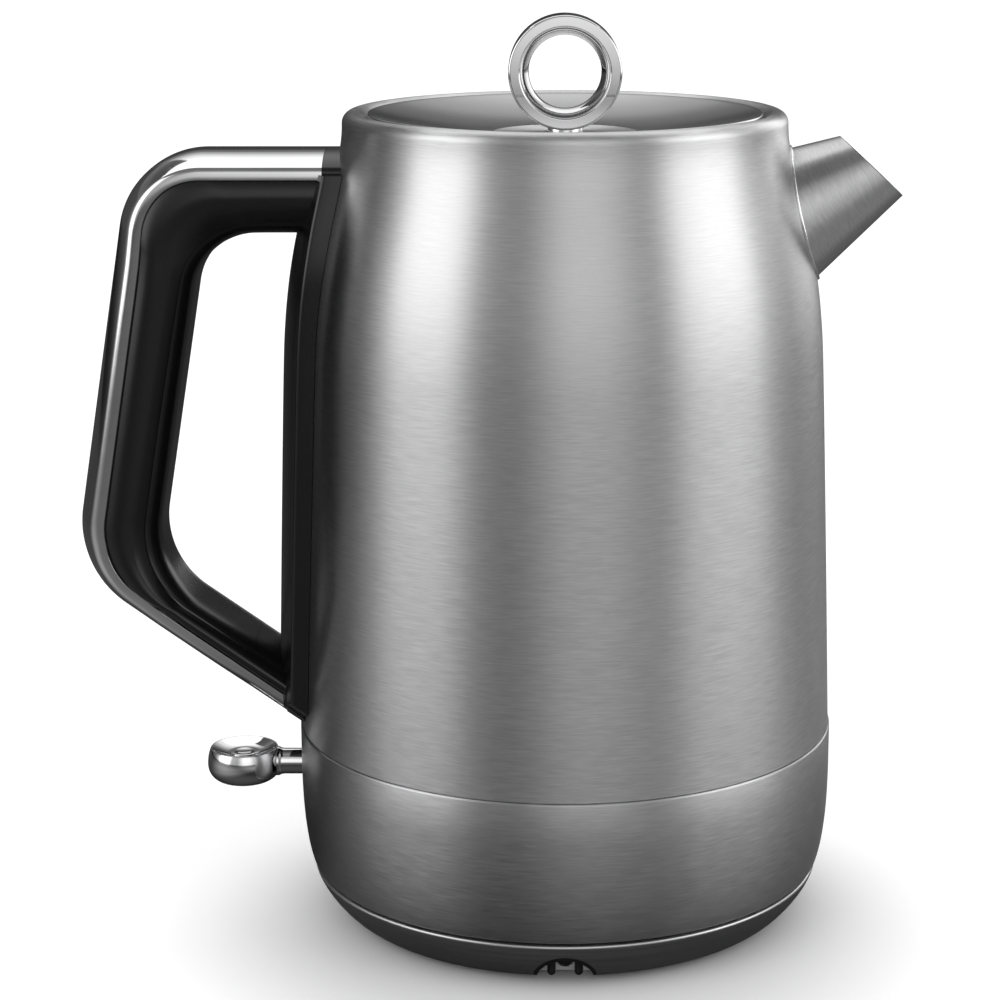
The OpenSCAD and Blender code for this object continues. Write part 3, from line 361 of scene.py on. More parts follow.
def tint(nodes, links, value, dark, light, source=(0.3, 0.7)):
    """Turns a noise into a colour between two."""
    ramp = nodes.new("ShaderNodeValToRGB")
    ramp.color_ramp.elements[0].position, ramp.color_ramp.elements[1].position = source
    ramp.color_ramp.elements[0].color, ramp.color_ramp.elements[1].color = dark + (1,), light + (1,)
    links.new(value, ramp.inputs["Fac"])
    return ramp.outputs["Color"]


def relief(nodes, links, shader, value, strength, depth):
    """Raises the surface a little by a noise; depth is in metres."""
    bump = nodes.new("ShaderNodeBump")
    bump.inputs["Strength"].default_value = strength
    bump.inputs["Distance"].default_value = depth
    links.new(value, bump.inputs["Height"])
    links.new(bump.outputs[0], shader.inputs["Normal"])


def round_about(nodes, links, shader, centre=(0, 0, 0), axis=(0, 0, 1)):
    """Brushes the surface round an axis: the grain runs along centre-to-point crossed with the axis."""
    place = nodes.new("ShaderNodeTexCoord")
    away = nodes.new("ShaderNodeVectorMath")
    away.operation = "SUBTRACT"
    away.inputs[1].default_value = Vector(centre) * mm
    links.new(place.outputs["Object"], away.inputs[0])
    along = nodes.new("ShaderNodeVectorMath")
    along.operation = "CROSS_PRODUCT"
    along.inputs[1].default_value = axis
    links.new(away.outputs[0], along.inputs[0])
    unit = nodes.new("ShaderNodeVectorMath")
    unit.operation = "NORMALIZE"
    links.new(along.outputs[0], unit.inputs[0])
    links.new(unit.outputs[0], shader.inputs["Tangent"])
    shader.inputs["Anisotropic Rotation"].default_value = 0.25


bulge = 1.3
base_side = [(63 + 9.6 * (1 - (1 - t) ** bulge) ** (1 / bulge), 1.5 + 11.9 * t)
    for t in [(i / 20) ** 1.2 for i in range(20)]]
base_cover = turned("base_cover_turned", base_side + [(72.58, 13.3), (72.52, 13.65), (72.35, 13.88), (72.1, 14),
    (67.1, 14), (66.8, 13.7), (66.1, 11), (19.5, 11), (19.5, 13.8), (18.9, 14.4), (16.9, 14.4), (16.9, 8.8),
    (63.8, 8.8), (66.1, 10.4), (69.4, 10.8), (68.2, 8), (60.9, 1.5)])
arch_radius = 8.75
bpy.ops.object.select_all(action="DESELECT")
bpy.ops.mesh.primitive_cylinder_add(vertices=96, radius=arch_radius * mm, depth=40 * mm,
    location=(0, -77.9 * mm, 1.5 * mm), rotation=(math.pi / 2, 0, 0))
cut_with(base_cover, bpy.context.object)
material, nodes, links, shader = new_material("dark satin base")
fine = speckle(nodes, links, 1, (24, 24, 1900), 4)
place = nodes.new("ShaderNodeTexCoord")
parts = nodes.new("ShaderNodeSeparateXYZ")
links.new(place.outputs["Object"], parts.inputs[0])
lip = spread(nodes, links, parts.outputs["Z"], 0, 1, (13.2 * mm, 13.45 * mm))
blend = nodes.new("ShaderNodeMix")
blend.data_type = "RGBA"
links.new(lip, blend.inputs["Factor"])
links.new(tint(nodes, links, fine, (0.05, 0.05, 0.051), (0.078, 0.078, 0.08)), blend.inputs["A"])
blend.inputs["B"].default_value = (0.62, 0.62, 0.62, 1)
links.new(blend.outputs["Result"], shader.inputs["Base Color"])
links.new(spread(nodes, links, lip, 0.35, 1, (0, 1)), shader.inputs["Metallic"])
links.new(spread(nodes, links, fine, 0.32, 0.42), shader.inputs["Roughness"])
relief(nodes, links, shader, fine, 0.1, 0.00008)
fix(base_cover, "power_base", "base_grey", material, "base_cover")

# ---- Feet, bottom plate and cord outlet ----
# A black moulded plate closes the base from below, held by three cross-head screws, with a rubber ring to stand on. The
# grommet in the arch is black too, with two pegs that clamp the cord before its pale back wall. The plate's black
# plastic is also that of the socket, the kettle's underside, its connector, the switch's bracket and the lid's plug.


def speckled(name, scale, detail, dark, light, gloss, metal=0, bump=None, stretch=(1, 1, 1)):
    """A material with a fine noise in its colour and roughness, and in its surface where a bump is given."""
    material, nodes, links, shader = new_material(name)
    fine = speckle(nodes, links, scale, stretch, detail)
    links.new(tint(nodes, links, fine, dark, light), shader.inputs["Base Color"])
    links.new(spread(nodes, links, fine, *gloss), shader.inputs["Roughness"])
    shader.inputs["Metallic"].default_value = metal
    if bump:
        relief(nodes, links, shader, fine, *bump)
    return material


finish_nodes(speckled("black moulded plastic", 2600, 2, (0.011, 0.011, 0.012), (0.019, 0.019, 0.02), (0.34, 0.46),
    bump=(0.15, 0.00005)),
    "base_bottom", "base_socket", "kettle_bottom", "kettle_connector", "switch_bracket", "lid_plug")

material, nodes, links, shader = new_material("cord grommet")
fine = speckle(nodes, links, 2600, detail=2)
place = nodes.new("ShaderNodeTexCoord")
parts = nodes.new("ShaderNodeSeparateXYZ")
links.new(place.outputs["Object"], parts.inputs[0])
blend = nodes.new("ShaderNodeMix")
blend.data_type = "RGBA"
links.new(spread(nodes, links, parts.outputs["Y"], 0, 1, (-59.4 * mm, -59.3 * mm)), blend.inputs["Factor"])
links.new(tint(nodes, links, fine, (0.002, 0.002, 0.002), (0.004, 0.004, 0.004)), blend.inputs["A"])
links.new(tint(nodes, links, fine, (0.42, 0.42, 0.42), (0.5, 0.5, 0.5)), blend.inputs["B"])
links.new(blend.outputs["Result"], shader.inputs["Base Color"])
links.new(spread(nodes, links, fine, 0.6, 0.7), shader.inputs["Roughness"])
finish_nodes(material, "cord_outlet")

finish_nodes(speckled("foot rubber", 1500, 4, (0.022, 0.022, 0.022), (0.04, 0.04, 0.041), (0.72, 0.88),
    bump=(0.3, 0.0001)), "base_foot_ring")
finish_nodes(speckled("zinc plated screws", 1800, 3, (0.5, 0.51, 0.52), (0.68, 0.68, 0.67), (0.25, 0.42), metal=1),
    "base_screws", "bottom_screws", "lid_screw", "handle_studs", "switch_pivot")

# ---- Contacts and shutter ----
# Rings and sleeves of spring brass carry the current from the socket to the kettle, and a pale ring of plastic in the
# socket's top closes the gap between them. The control's discs are brass too, and its housings are of the pale plastic.
finish_nodes(speckled("spring brass", 1, 3, (0.62, 0.42, 0.14), (0.78, 0.57, 0.24), (0.18, 0.36), metal=1,
    stretch=(400, 400, 3000)), "socket_contacts", "connector_pins", "control_discs", "steam_disc")
finish_nodes(speckled("pale moulded plastic", 2200, 2, (0.66, 0.65, 0.6), (0.74, 0.73, 0.68), (0.42, 0.56),
    bump=(0.12, 0.00005)), "socket_shutter", "control_unit", "steam_thermostat")

# ---- Jug ----
# One drawn shell of stainless steel, its rim rolled inwards and its outside brushed round and round with a fine belt.
# The skirt at its foot is pushed into the collar, and the wall is pierced behind the spout.


def brushed_steel(name, dark, light, rough, centre=(0, 0, 0), axis=(0, 0, 1), turn=(0, 0, 0),
        stretch=(170, 170, 3000), grain=0.06):
    """Satin steel with a belt-brushed grain: long fine scratches, the gloss drawn out across them."""
    material, nodes, links, shader = new_material(name)
    scratches = speckle(nodes, links, 1, stretch, 5, turn)
    links.new(tint(nodes, links, scratches, dark, light, (0.32, 0.68)), shader.inputs["Base Color"])
    links.new(spread(nodes, links, scratches, rough - 0.03, rough + 0.03), shader.inputs["Roughness"])
    shader.inputs["Metallic"].default_value = 1
    shader.inputs["Anisotropic"].default_value = 0.8
    round_about(nodes, links, shader, centre, axis)
    relief(nodes, links, shader, scratches, grain, 0.00006)
    return material


sheet = 0.9
neck_radius = 61.0
knee, rim_start, rim_middle = (71.7, 165), (neck_radius, 225.75), (57.95, 225.75)
jug_outside = curve((75.55, 55.6), (75.01, 75.6), (72.31, 155), knee, 22) \
    + curve(knee, (69.54, 200.4), (neck_radius, 211.75), rim_start, 26)[1:]
jug = turned("jug_shell_turned", [(75, 46.7), (75, 55.4)] + jug_outside + bow(rim_middle, 3.05, 8, 180, 20)
    + [(54.9, 219.75), (55.8, 219.75)] + bow(rim_middle, 2.15, 180, 0, 10)
    + [(x - sheet, z) for x, z in reversed(jug_outside[1:-1])] + [(74.1, 55.3), (74.1, 46.7)])
spout_tip_x, spout_tip_z, spout_rise, spout_half = 121.1, 232.8, 29, 15.2
spout_tip = Vector((spout_tip_x, 0, spout_tip_z))
spout_way = Vector((math.cos(math.radians(spout_rise)), 0, math.sin(math.radians(spout_rise))))


def spout_cone(name, outset, length, top=None):
    """A solid cone about the spout's centre line, its side moved out by outset."""
    shift = outset / math.sin(math.radians(spout_half))
    depth = length + shift
    middle = spout_tip + spout_way * (shift - depth / 2)
    bpy.ops.object.select_all(action="DESELECT")
    bpy.ops.mesh.primitive_cone_add(vertices=192, radius1=depth * math.tan(math.radians(spout_half)) * mm, radius2=0,
        depth=depth * mm, location=middle * mm, rotation=(0, math.radians(90 - spout_rise), 0))
    cone = bpy.context.object
    cone.name = name
    bpy.ops.object.transform_apply(location=True, rotation=True, scale=True)
    if top is not None:
        bpy.ops.object.mode_set(mode="EDIT")
        bpy.ops.mesh.select_all(action="SELECT")
        bpy.ops.mesh.bisect(plane_co=(0, 0, top * mm), plane_no=(0, 0, 1), clear_outer=True, use_fill=True)
        bpy.ops.object.mode_set(mode="OBJECT")
    return cone


cut_with(jug, spout_cone("spout_way_cutter", -2.4, 72, 212.1))
jug_steel = brushed_steel("brushed jug steel", (0.53, 0.53, 0.535), (0.64, 0.64, 0.645), 0.36)
fix(jug, "kettle", "steel", jug_steel, "jug_shell")

# ---- Collar ----
# A separate ring of the same steel round the foot of the kettle, drawn in below so that it nests on the base; its steel
# is coloured darker than the jug's, painted shade for its darker look low down. Its upper edge is chamfered, which
# leaves a thin bright line at the seam.
collar_side = (73.2, 15.7), (74.9, 20.5), (76, 30), (76, 43.5)
collar = turned("lower_collar_turned", [(70.6, 14.8), (72.1, 14.8), (72.65, 14.95), (73.05, 15.35)]
    + curve(*collar_side, 22) + [(76, 54.75), (75.9, 55.05), (75.65, 55.3), (75.1, 55.3)]
    + [(x - sheet, z) for x, z in reversed(curve(*collar_side, 12))] + [(71.5, 15.7), (70.6, 15.7)])
lever_height, slot_half = 40.85, 4.15
slot_points = bow((0, lever_height), slot_half, 0, 180, 20) + bow((0, 37.54), slot_half, 180, 360, 20)
cutter = draw("lever_slot_cutter", slot_points)
bpy.ops.mesh.edge_face_add()
bpy.ops.mesh.extrude_region_move(TRANSFORM_OT_translate={"value": (0, 0.02, 0)})
bpy.ops.mesh.select_all(action="SELECT")
bpy.ops.mesh.normals_make_consistent(inside=False)
bpy.ops.transform.rotate(value=math.pi / 2, orient_axis="Z", center_override=(0, 0, 0))
bpy.ops.object.mode_set(mode="OBJECT")
for corner in cutter.data.vertices:
    corner.co.x = -0.08 + abs(corner.co.x)
cut_with(collar, cutter)
# The collar's steel colour is set darker than the jug's: painted shade.
collar_steel_painted_darker = brushed_steel("brushed collar steel painted darker", (0.46, 0.46, 0.465), (0.56, 0.56, 0.565), 0.36)
fix(collar, "kettle", "steel", collar_steel_painted_darker, "lower_collar")

# ---- Spout ----
# A cone of rolled steel sheet, brushed round its own axis, its mouth cut at a slant. It is welded to the shoulder, and
# a polished bead runs round the joint.
spout = spout_cone("spout_cone", 0, 70)
cut_with(spout, spout_cone("spout_bore", -sheet, 80))
cut_with(spout, turned("jug_body",
    [(0, 40), (75.2, 40), (75.2, 55.6)] + [(x - 0.3, z) for x, z in jug_outside] + [(60.7, 240), (0, 240)]))
bpy.ops.object.select_all(action="DESELECT")
lip_slope = math.radians(42.6)
lip_x = 93
lip_height = spout_tip_z - (spout_tip_x - lip_x) * math.tan(math.radians(spout_rise + spout_half))
bpy.ops.mesh.primitive_cube_add(size=0.2, location=(0, 0, 0.1))
cutter = bpy.context.object
bpy.ops.object.mode_set(mode="EDIT")
bpy.ops.mesh.select_all(action="SELECT")
bpy.ops.mesh.subdivide(number_cuts=1)
bpy.ops.object.mode_set(mode="OBJECT")
cutter.rotation_euler = (0, lip_slope, 0)
cutter.location = Vector((lip_x, 0, lip_height)) * mm + Vector((math.sin(lip_slope), 0, math.cos(lip_slope))) * 0.1
bpy.ops.object.transform_apply(location=True, rotation=True, scale=True)
cut_with(spout, cutter)
spout_turn = (0, math.radians(spout_rise - 90), 0)
spout_steel = brushed_steel("brushed spout steel", (0.42, 0.42, 0.425), (0.54, 0.54, 0.545), 0.34, spout_tip, spout_way,
    spout_turn, (280, 280, 4600), 0.035)
fix(spout, "kettle", "steel", spout_steel, "spout")


def jug_radius(height):
    """The jug's outer radius at a height, read off its outline."""
    for (r0, z0), (r1, z1) in zip(jug_outside, jug_outside[1:]):
        if z0 <= height <= z1:
            return r0 + (r1 - r0) * (height - z0) / (z1 - z0)
    return neck_radius


side_way = Vector((0, 1, 0))
up_way = spout_way.cross(side_way)
bead_steps = 144
bead_line = []
for i in range(bead_steps):
    turn = math.tau * i / bead_steps
    out = (side_way * math.cos(turn) + up_way * math.sin(turn)) * math.tan(math.radians(spout_half))
    near, far = 20.0, 70.0
    for _ in range(40):
        half = (near + far) / 2
        point = spout_tip - spout_way * half + out * (half + 1.6)
        if math.hypot(point.x, point.y) > jug_radius(point.z) + 0.15:
            near = half
        else:
            far = half
    bead_line.append(point * mm)
bpy.ops.object.select_all(action="DESELECT")
bpy.ops.mesh.primitive_circle_add(vertices=bead_steps, radius=0.02, location=(0, 0, 0))
bead = bpy.context.object
bead.name = "spout_bead_round"
for corner, point in zip(bead.data.vertices, bead_line):
    corner.co = point
bpy.ops.object.convert(target="CURVE")
bead = bpy.context.object
bead.data.bevel_depth = 0.48 * mm
bead.data.bevel_resolution = 3
bpy.ops.object.convert(target="MESH")
bead = bpy.context.object
bpy.ops.object.mode_set(mode="EDIT")
bpy.ops.mesh.select_all(action="SELECT")
bpy.ops.mesh.remove_doubles(threshold=1e-6)
bpy.ops.mesh.normals_make_consistent(inside=False)
bpy.ops.object.mode_set(mode="OBJECT")
weld_bead = speckled("polished weld bead", 900, 3, (0.7, 0.7, 0.7), (0.82, 0.82, 0.82), (0.12, 0.22), metal=1)
fix(bead, "kettle", "steel", weld_bead, "spout_bead", crease=80)
finish_nodes(jug_steel, "spout_strainer", "lid_seat")

# ---- Handle ----
# A black moulded loop of glass-filled nylon with a long crowned band that hugs the jug. Its outside is let in to take
# the chrome strip, and an inner cover closes it on the finger side, along a fine groove.


def unit(v):
    """The direction of a vector."""
    return v / v.length


def rounded(a, b, c, radius, steps):
    """Points of the arc that rounds the corner b on the way from a to c."""
    u, v = unit(a - b), unit(c - b)
    half = u.angle(v) / 2
    middle = b + unit(u + v) * radius / math.sin(half)
    start, end = b + u * radius / math.tan(half) - middle, b + v * radius / math.tan(half) - middle
    first = math.atan2(start.y, start.x)
    turn = (math.atan2(end.y, end.x) - first + math.pi) % math.tau - math.pi
    angles = [first + turn * i / steps for i in range(steps + 1)]
    return [middle + Vector((math.cos(angle), math.sin(angle))) * radius for angle in angles]


def crossing(p, u, q, v):
    """Where the line through p along u meets the line through q along v."""
    return p + u * ((q - p).x * v.y - (q - p).y * v.x) / (u.x * v.y - u.y * v.x)


upper_arm, grip, lower_arm, half_width = 22.4, 23.2, 15.6, 17.0
handle_top, foot_height = 218.35, 56.2
top_corner, elbow = Vector((-118.85, handle_top)), Vector((-138.73, 101.1))
foot = Vector((-jug_radius(foot_height), foot_height))
down_grip, down_arm = unit(elbow - top_corner), unit(foot - elbow)
inner_top = crossing(Vector((0, handle_top - upper_arm)), Vector((1, 0)), top_corner + Vector((grip, 0)), down_grip)
inner_elbow = crossing(elbow + Vector((grip, 0)), down_grip, elbow + Vector((0, lower_arm)), down_arm)


def along(a, b, n):
    """Points at equal steps between a and b."""
    return [a.lerp(b, i / (n + 1)) for i in range(1, n + 1)]


# A station holds a point of the handle's outer line, a point of its inner line, and how much longer the way between
# them is than the one square across the arm.
def upright(x):
    """A station on the upper arm."""
    return Vector((x, handle_top)), Vector((x, handle_top - upper_arm)), 1.0


def leaning(x):
    """An upright station on the lower arm, which slopes."""
    low = elbow.y + (x - elbow.x) * down_arm.y / down_arm.x
    return Vector((x, low)), Vector((x, low + lower_arm)), 1 / down_arm.x


def two_bends(start, first, second, end, radii, steps=28):
    """A line of the handle's side view, from the first rounded corner along the grip to the second."""
    upper, lower = rounded(start, first, second, radii[0], steps), rounded(first, second, end, radii[1], steps)
    return upper + along(upper[-1], lower[0], 8) + lower


bends = list(zip(two_bends(Vector((0, handle_top)), top_corner, elbow, foot, (24, 28)),
    two_bends(Vector((0, inner_top.y)), inner_top, inner_elbow, inner_elbow + down_arm * 40, (18, 26))))


def path(first, last, spare=3):
    """Stations from an upright one on the upper arm, round the grip, to a leaning one on the lower arm."""
    a, b = upright(-80), leaning(-89)
    before = zip(along(a[0], bends[0][0], spare), along(a[1], bends[0][1], spare))
    after = zip(along(bends[-1][0], b[0], spare), along(bends[-1][1], b[1], spare))
    pairs = list(before) + bends + list(after)
    starts = [a[0]] + [start for start, end in pairs] + [b[0]]
    slants = [1 / abs(unit(starts[i + 2] - starts[i]).cross(unit(end - start))) for i, (start, end) in enumerate(pairs)]
    between = [(start, end, slant) for (start, end), slant in zip(pairs, slants)]
    return [upright(first), a] + between + [b, leaning(last)]


def groove(thick):
    """Depth of the inner cover, from the groove along its edge to the finger side."""
    return min(4, thick * 0.18)


def strip_depth(station):
    """Depth of the chrome strip along a station: it is shallower on the upper arm and on the lower one."""
    z = station[0].y
    depth = 8.3 - 1.3 * min(1, max(0, (z - handle_top + 30) / 27)) - 2.1 * min(1, max(0, (108 - z) / 25))
    return depth * station[2]


strip_side = 2.3


def crown(half, depth, inset, steps=16):
    """Outer line of the handle from its middle to its corner: flat, then falling faster to a flat side."""
    fall, side = depth - strip_side, half - inset
    points = [(inset + 0.86 * fall * f ** 3, side * f) for f in [i / steps * 0.93 for i in range(steps + 1)]]
    return points + curve(points[-1], (inset + 0.77 * fall, 0.964 * side), (inset * 0.5 + 0.905 * fall, side - 0.03),
        (inset * 0.5 + 1.074 * fall, side), 8)[1:]


def flank(half, thick, depth):
    """Side of the black shell, from the strip's edge to the inner cover: it swells a little, then draws in."""
    run = thick - depth - groove(thick)
    swell = min(1, run / 11)
    widest = (depth + run * 0.52, half + 0.75 * swell)
    swelling = curve((depth, half - 0.55), (depth + run * 0.14, half + 0.5 * swell),
        (depth + run * 0.3, half + 1.2 * swell), widest, 9)
    return swelling + curve(widest, (depth + run * 0.7, half + 0.4 * swell), (depth + run * 0.86, half - 1.2),
        (depth + run, half - 2.6), 9)[1:]


def nose(half, thick, start=0.0):
    """Inner side of the handle, rounded for the fingers."""
    deep = groove(thick)
    return curve((thick - deep + start, half - 3.2), (thick - deep * 0.5, half - 4.2), (thick - 0.1, half - 6.4),
        (thick, half - 11.2), 10) + [(thick, half - 14), (thick, 0)]


def ring(station, half):
    """A half section laid into its station and closed by its mirror image."""
    start, way = station[0], unit(station[1] - station[0])
    whole = list(half) + [(u, -v) for u, v in reversed(half) if v > 1e-6]
    return [Vector((start.x + way.x * u, v, start.y + way.y * u)) * mm for u, v in whole]


def drawn_along(name, rings):
    """A solid pulled along a path: a polygon is set on the first ring, then extruded to each of the others."""
    count = len(rings[0])
    bpy.ops.object.select_all(action="DESELECT")
    bpy.ops.mesh.primitive_circle_add(vertices=count, radius=0.01, fill_type="NGON", location=(0, 0, 0))
    piece = bpy.context.object
    piece.name = name
    bpy.ops.object.mode_set(mode="EDIT")
    bpy.ops.mesh.select_mode(type="VERT")
    bpy.ops.mesh.select_all(action="SELECT")
    for number, points in enumerate(rings):
        if number:
            bpy.ops.mesh.extrude_region_move(TRANSFORM_OT_translate={"value": (0, 0, 0)})
        corners = bmesh.from_edit_mesh(piece.data).verts
        corners.ensure_lookup_table()
        for corner, point in zip(corners[-count:], points):
            corner.co = point
        bmesh.update_edit_mesh(piece.data)
    bpy.ops.mesh.select_all(action="SELECT")
    bpy.ops.mesh.normals_make_consistent(inside=False)
    bpy.ops.object.mode_set(mode="OBJECT")
    return piece


def joined(name, *pieces):
    """Several solids of one moulding as one piece."""
    bpy.ops.object.select_all(action="DESELECT")
    for piece in pieces:
        piece.select_set(True)
    bpy.context.view_layer.objects.active = pieces[0]
    bpy.ops.object.join()
    pieces[0].name = name
    return pieces[0]


def shell_section(station):
    """The middle of the handle, open to the strip outside and to the inner cover."""
    thick, depth = (station[1] - station[0]).length, strip_depth(station)
    end = thick - groove(thick)
    return crown(half_width, depth, 1.2) + [(depth, 15.8)] + flank(half_width, thick, depth) \
        + [(end, 14.4 * f) for f in (0.8, 0.5, 0.2, 0)]


def whole_section(station, half=half_width):
    """The ends of the handle, beyond the strip."""
    thick, depth = (station[1] - station[0]).length, strip_depth(station)
    return crown(half, depth, 0) + flank(half, thick, depth) + nose(half, thick)[1:]


def neck_section(station):
    """The finger side between the inner cover and the handle's ends."""
    thick = (station[1] - station[0]).length
    end = thick - groove(thick)
    return [(end - 1, 0), (end - 1, 13.6)] + nose(half_width, thick)


root_end, heel_end = -65.4, -79.35
middle = drawn_along("handle_core", [ring(s, shell_section(s)) for s in path(root_end, heel_end)])
neck_paths = [upright(root_end), upright(-72), upright(-78)], [leaning(-87.55), leaning(-83), leaning(heel_end)]
necks = [drawn_along("handle_neck", [ring(s, neck_section(s)) for s in stations]) for stations in neck_paths]
root = drawn_along("handle_root", [ring(upright(x), whole_section(upright(x))) for x in (root_end, -61, -57)])
heel = drawn_along("handle_heel", [ring(leaning(x), whole_section(leaning(x), half))
    for x, half in ((heel_end, half_width), (-76, 17.4), (-73.6, 18))])


strip_end_top = 67.2


def band_ring(z):
    """The band's outline at a height: it lies on the jug, its face is crowned, and the strip's end cuts it short."""
    wall = jug_radius(z) + 0.1
    half = 22.3 + 1.7 * min(1, max(0, (z - 80) / 60)) - 4 * min(1, max(0, (z - 183) / 30)) ** 2
    thick = 6.4
    foot_x = -math.sqrt(wall ** 2 - half ** 2)
    edge = foot_x - 4.7 - 0.6 * min(1, max(0, (z - 170) / 30))
    rise = wall + thick + edge
    middle_x = (wall + thick - edge - half ** 2 / rise) / 2
    radius = wall + thick - middle_x
    soft = min(0.9, (foot_x - edge) * 0.45)
    turn = math.degrees(math.asin((half - soft) / radius))
    angles = [math.radians(turn * (1 - i / 12)) for i in range(13)]
    face = [(-middle_x - radius * math.cos(angle), radius * math.sin(angle)) for angle in angles]
    start = face[0]
    corner = curve((edge + soft + 0.1, half), (edge + 0.25, half), (start[0] + 0.05, start[1] + soft * 0.6), start, 6)
    outline = [(foot_x, half), (edge + soft + 0.1 + (foot_x - edge - soft - 0.1) * 0.5, half)] + corner + face[1:]
    if z < strip_end_top:
        outline = [(max(x, -79.3), y) for x, y in outline]
    back = [(-math.sqrt(wall ** 2 - (half * f) ** 2), half * f) for f in (0, 0.25, 0.5, 0.75)]
    whole = outline + [(x, -y) for x, y in reversed(outline[:-1])] + [(x, -y) for x, y in reversed(back)] + back[1:]
    return [Vector((x, y, z)) * mm for x, y in whole]


band_heights = [55.9 + 3.4 * i for i in range(34)] + [173 + 2.5 * i for i in range(17)]
band = drawn_along("handle_band", [band_ring(z) for z in band_heights])
bpy.ops.object.mode_set(mode="EDIT")
below = Vector((down_arm.y, 0, -down_arm.x))
for tilt, side in ((0, 0), (-27, -9), (27, 9)):
    lean = below * math.cos(math.radians(tilt)) + Vector((0, math.sin(math.radians(tilt)), 0))
    bpy.ops.mesh.select_all(action="SELECT")
    bpy.ops.mesh.bisect(plane_co=Vector((foot.x, side, foot.y + 0.05)) * mm, plane_no=lean,
        clear_outer=True, use_fill=True)
bpy.ops.object.mode_set(mode="OBJECT")
shell = joined("handle_shell_moulded", middle, root, heel, band, *necks)
handle_black = speckled("satin black handle", 2400, 2, (0.0032, 0.0032, 0.0034), (0.0048, 0.0048, 0.005), (0.2, 0.26),
    bump=(0.015, 0.00002))
fix(shell, "kettle", "black_plastic", handle_black, "handle_shell", crease=40)


def cover_section(station, gap=0.1):
    """The inner cover, from the flat side that lies in the shell to the finger side."""
    thick = (station[1] - station[0]).length
    return [(thick - groove(thick) + gap, 0)] + nose(half_width, thick, gap)


cover = drawn_along("handle_cover_moulded", [ring(s, cover_section(s)) for s in path(-78.1, -87.65)])
fix(cover, "kettle", "black_plastic", handle_black, "handle_cover", crease=40)

# ---- Chrome strip ----
# A die-cast strip, polished and plated, that wraps the outside of the handle: flat in the middle, falling to a rounded
# corner and a narrow flat side. It is clipped into its recess, and ends square at both arms.


def strip_section(station):
    """The strip's outside, its edge and its inside."""
    depth = strip_depth(station)
    return crown(half_width, depth, 0) + [(depth - 0.25, 17), (depth - 0.1, 16.85), (depth - 0.1, 15.9)] \
        + crown(half_width, depth, 1.15)[::-1]


# Between its ends, each station of the strip is turned square to the outer line.
strip_path = path(-65.5, -79.45)
for i in range(2, len(strip_path) - 2):
    onward = unit(strip_path[i + 1][0] - strip_path[i - 1][0])
    strip_path[i] = strip_path[i][0], strip_path[i][0] + Vector((-onward.y, onward.x)) * 20, 1.0
strip = drawn_along("handle_strip_plated", [ring(s, strip_section(s)) for s in strip_path])


def polished(name, dark, light, rough):
    """Bright plating: nearly a mirror, with faint wipe marks in its gloss."""
    return speckled(name, 60, 4, dark, light, (rough * 0.8, rough * 1.3), metal=1, stretch=(1, 1, 2.5))


chrome = polished("chrome plating", (0.74, 0.74, 0.745), (0.8, 0.8, 0.805), 0.09)
fix(strip, "kettle", "bright_metal", chrome, "handle_strip", crease=30)

# ---- Switch ----
# A chromed lever that works the switch under the kettle. Its round stem comes out through a slot in the collar and
# carries a turned finger cup with a dished top and a small raised button.
cup_radius, cup_height, cup_reach = 10.6, 40.3, 93
cup_side = curve((5.3, -5), (8.7, -5), (cup_radius, -2.6), (cup_radius, 0), 14) \
    + curve((cup_radius, 0), (cup_radius, 2), (10.25, 3.6), (9.7, 4.75), 9)[1:]
cup_dish = curve((9.1, 4.92), (7.9, 4.45), (6.3, 3.6), (4.5, 3.3), 12)
cup_button = [(4.3, 3.32), (4.22, 3.45), (4.1, 3.55), (3.9, 3.62), (3.6, 3.65), (2.4, 3.68), (2.2, 3.6), (0, 3.56)]
cup_outline = [(0, -5)] + cup_side + [(9.62, 4.9), (9.5, 4.98), (9.35, 5), (9.2, 4.97)] + cup_dish + cup_button
cup = turned("switch_cup_turned", [(x, z + cup_height) for x, z in cup_outline], steps=96)
bpy.ops.object.mode_set(mode="EDIT")
bpy.ops.mesh.select_all(action="SELECT")
bpy.ops.transform.translate(value=(-cup_reach * mm, 0, 0))
bpy.ops.object.mode_set(mode="OBJECT")
bright_cup = polished("chrome plating of the switch", (0.76, 0.76, 0.765), (0.82, 0.82, 0.825), 0.05)
fix(cup, "switch", "bright_metal", bright_cup, "switch_cup", crease=35)
stem = turned("switch_lever_turned", [(-62.5, lever_height), (-62.5, 44.2), (-62.9, 44.6), (-81.4, 44.6), (-82, 44.68),
    (-82.5, 44.85), (-82.9, 45.1), (-84.5, 45.1), (-84.5, lever_height)],
    steps=64, centre=(0, 0, lever_height), axis=(1, 0, 0))
fix(stem, "switch", "bright_metal", bright_cup, "switch_lever", crease=35)

# ---- Lid ----
# A dished cover of stainless steel, spun and satin finished, with a deep skirt that drops into the neck. A flat disc is
# let into its middle, and a screw from below holds the short chrome foot and the ring handle.
lid_grain = (3200, 3200, 3200)
lid_steel = brushed_steel("spun lid steel", (0.54, 0.54, 0.545), (0.57, 0.57, 0.575), 0.16,
    stretch=lid_grain, grain=0.004)
lid_steel.node_tree.nodes["Principled BSDF"].inputs["Anisotropic"].default_value = 0.15
lid_dish = [(20.1 + 33 * t, 222.6 + 5.7 * t ** 1.55) for t in [i / 30 for i in range(31)]]
lid_edge, lid_foot = 54.2, 216.4
lid = turned("lid_plate_spun", [(0, 221.4), (0, 222.2), (20.1, 222.2)] + lid_dish
    + [(53.4, 228.36), (53.7, 228.38), (53.95, 228.25), (54.12, 228), (lid_edge, 227.7), (lid_edge, lid_foot)]
    + [(53, lid_foot), (53, 225.6)] + [(x, z - 1.2) for x, z in reversed(lid_dish[::3])])
fix(lid, "lid", "lid_steel", lid_steel, "lid_plate")
disc_top = 222.8
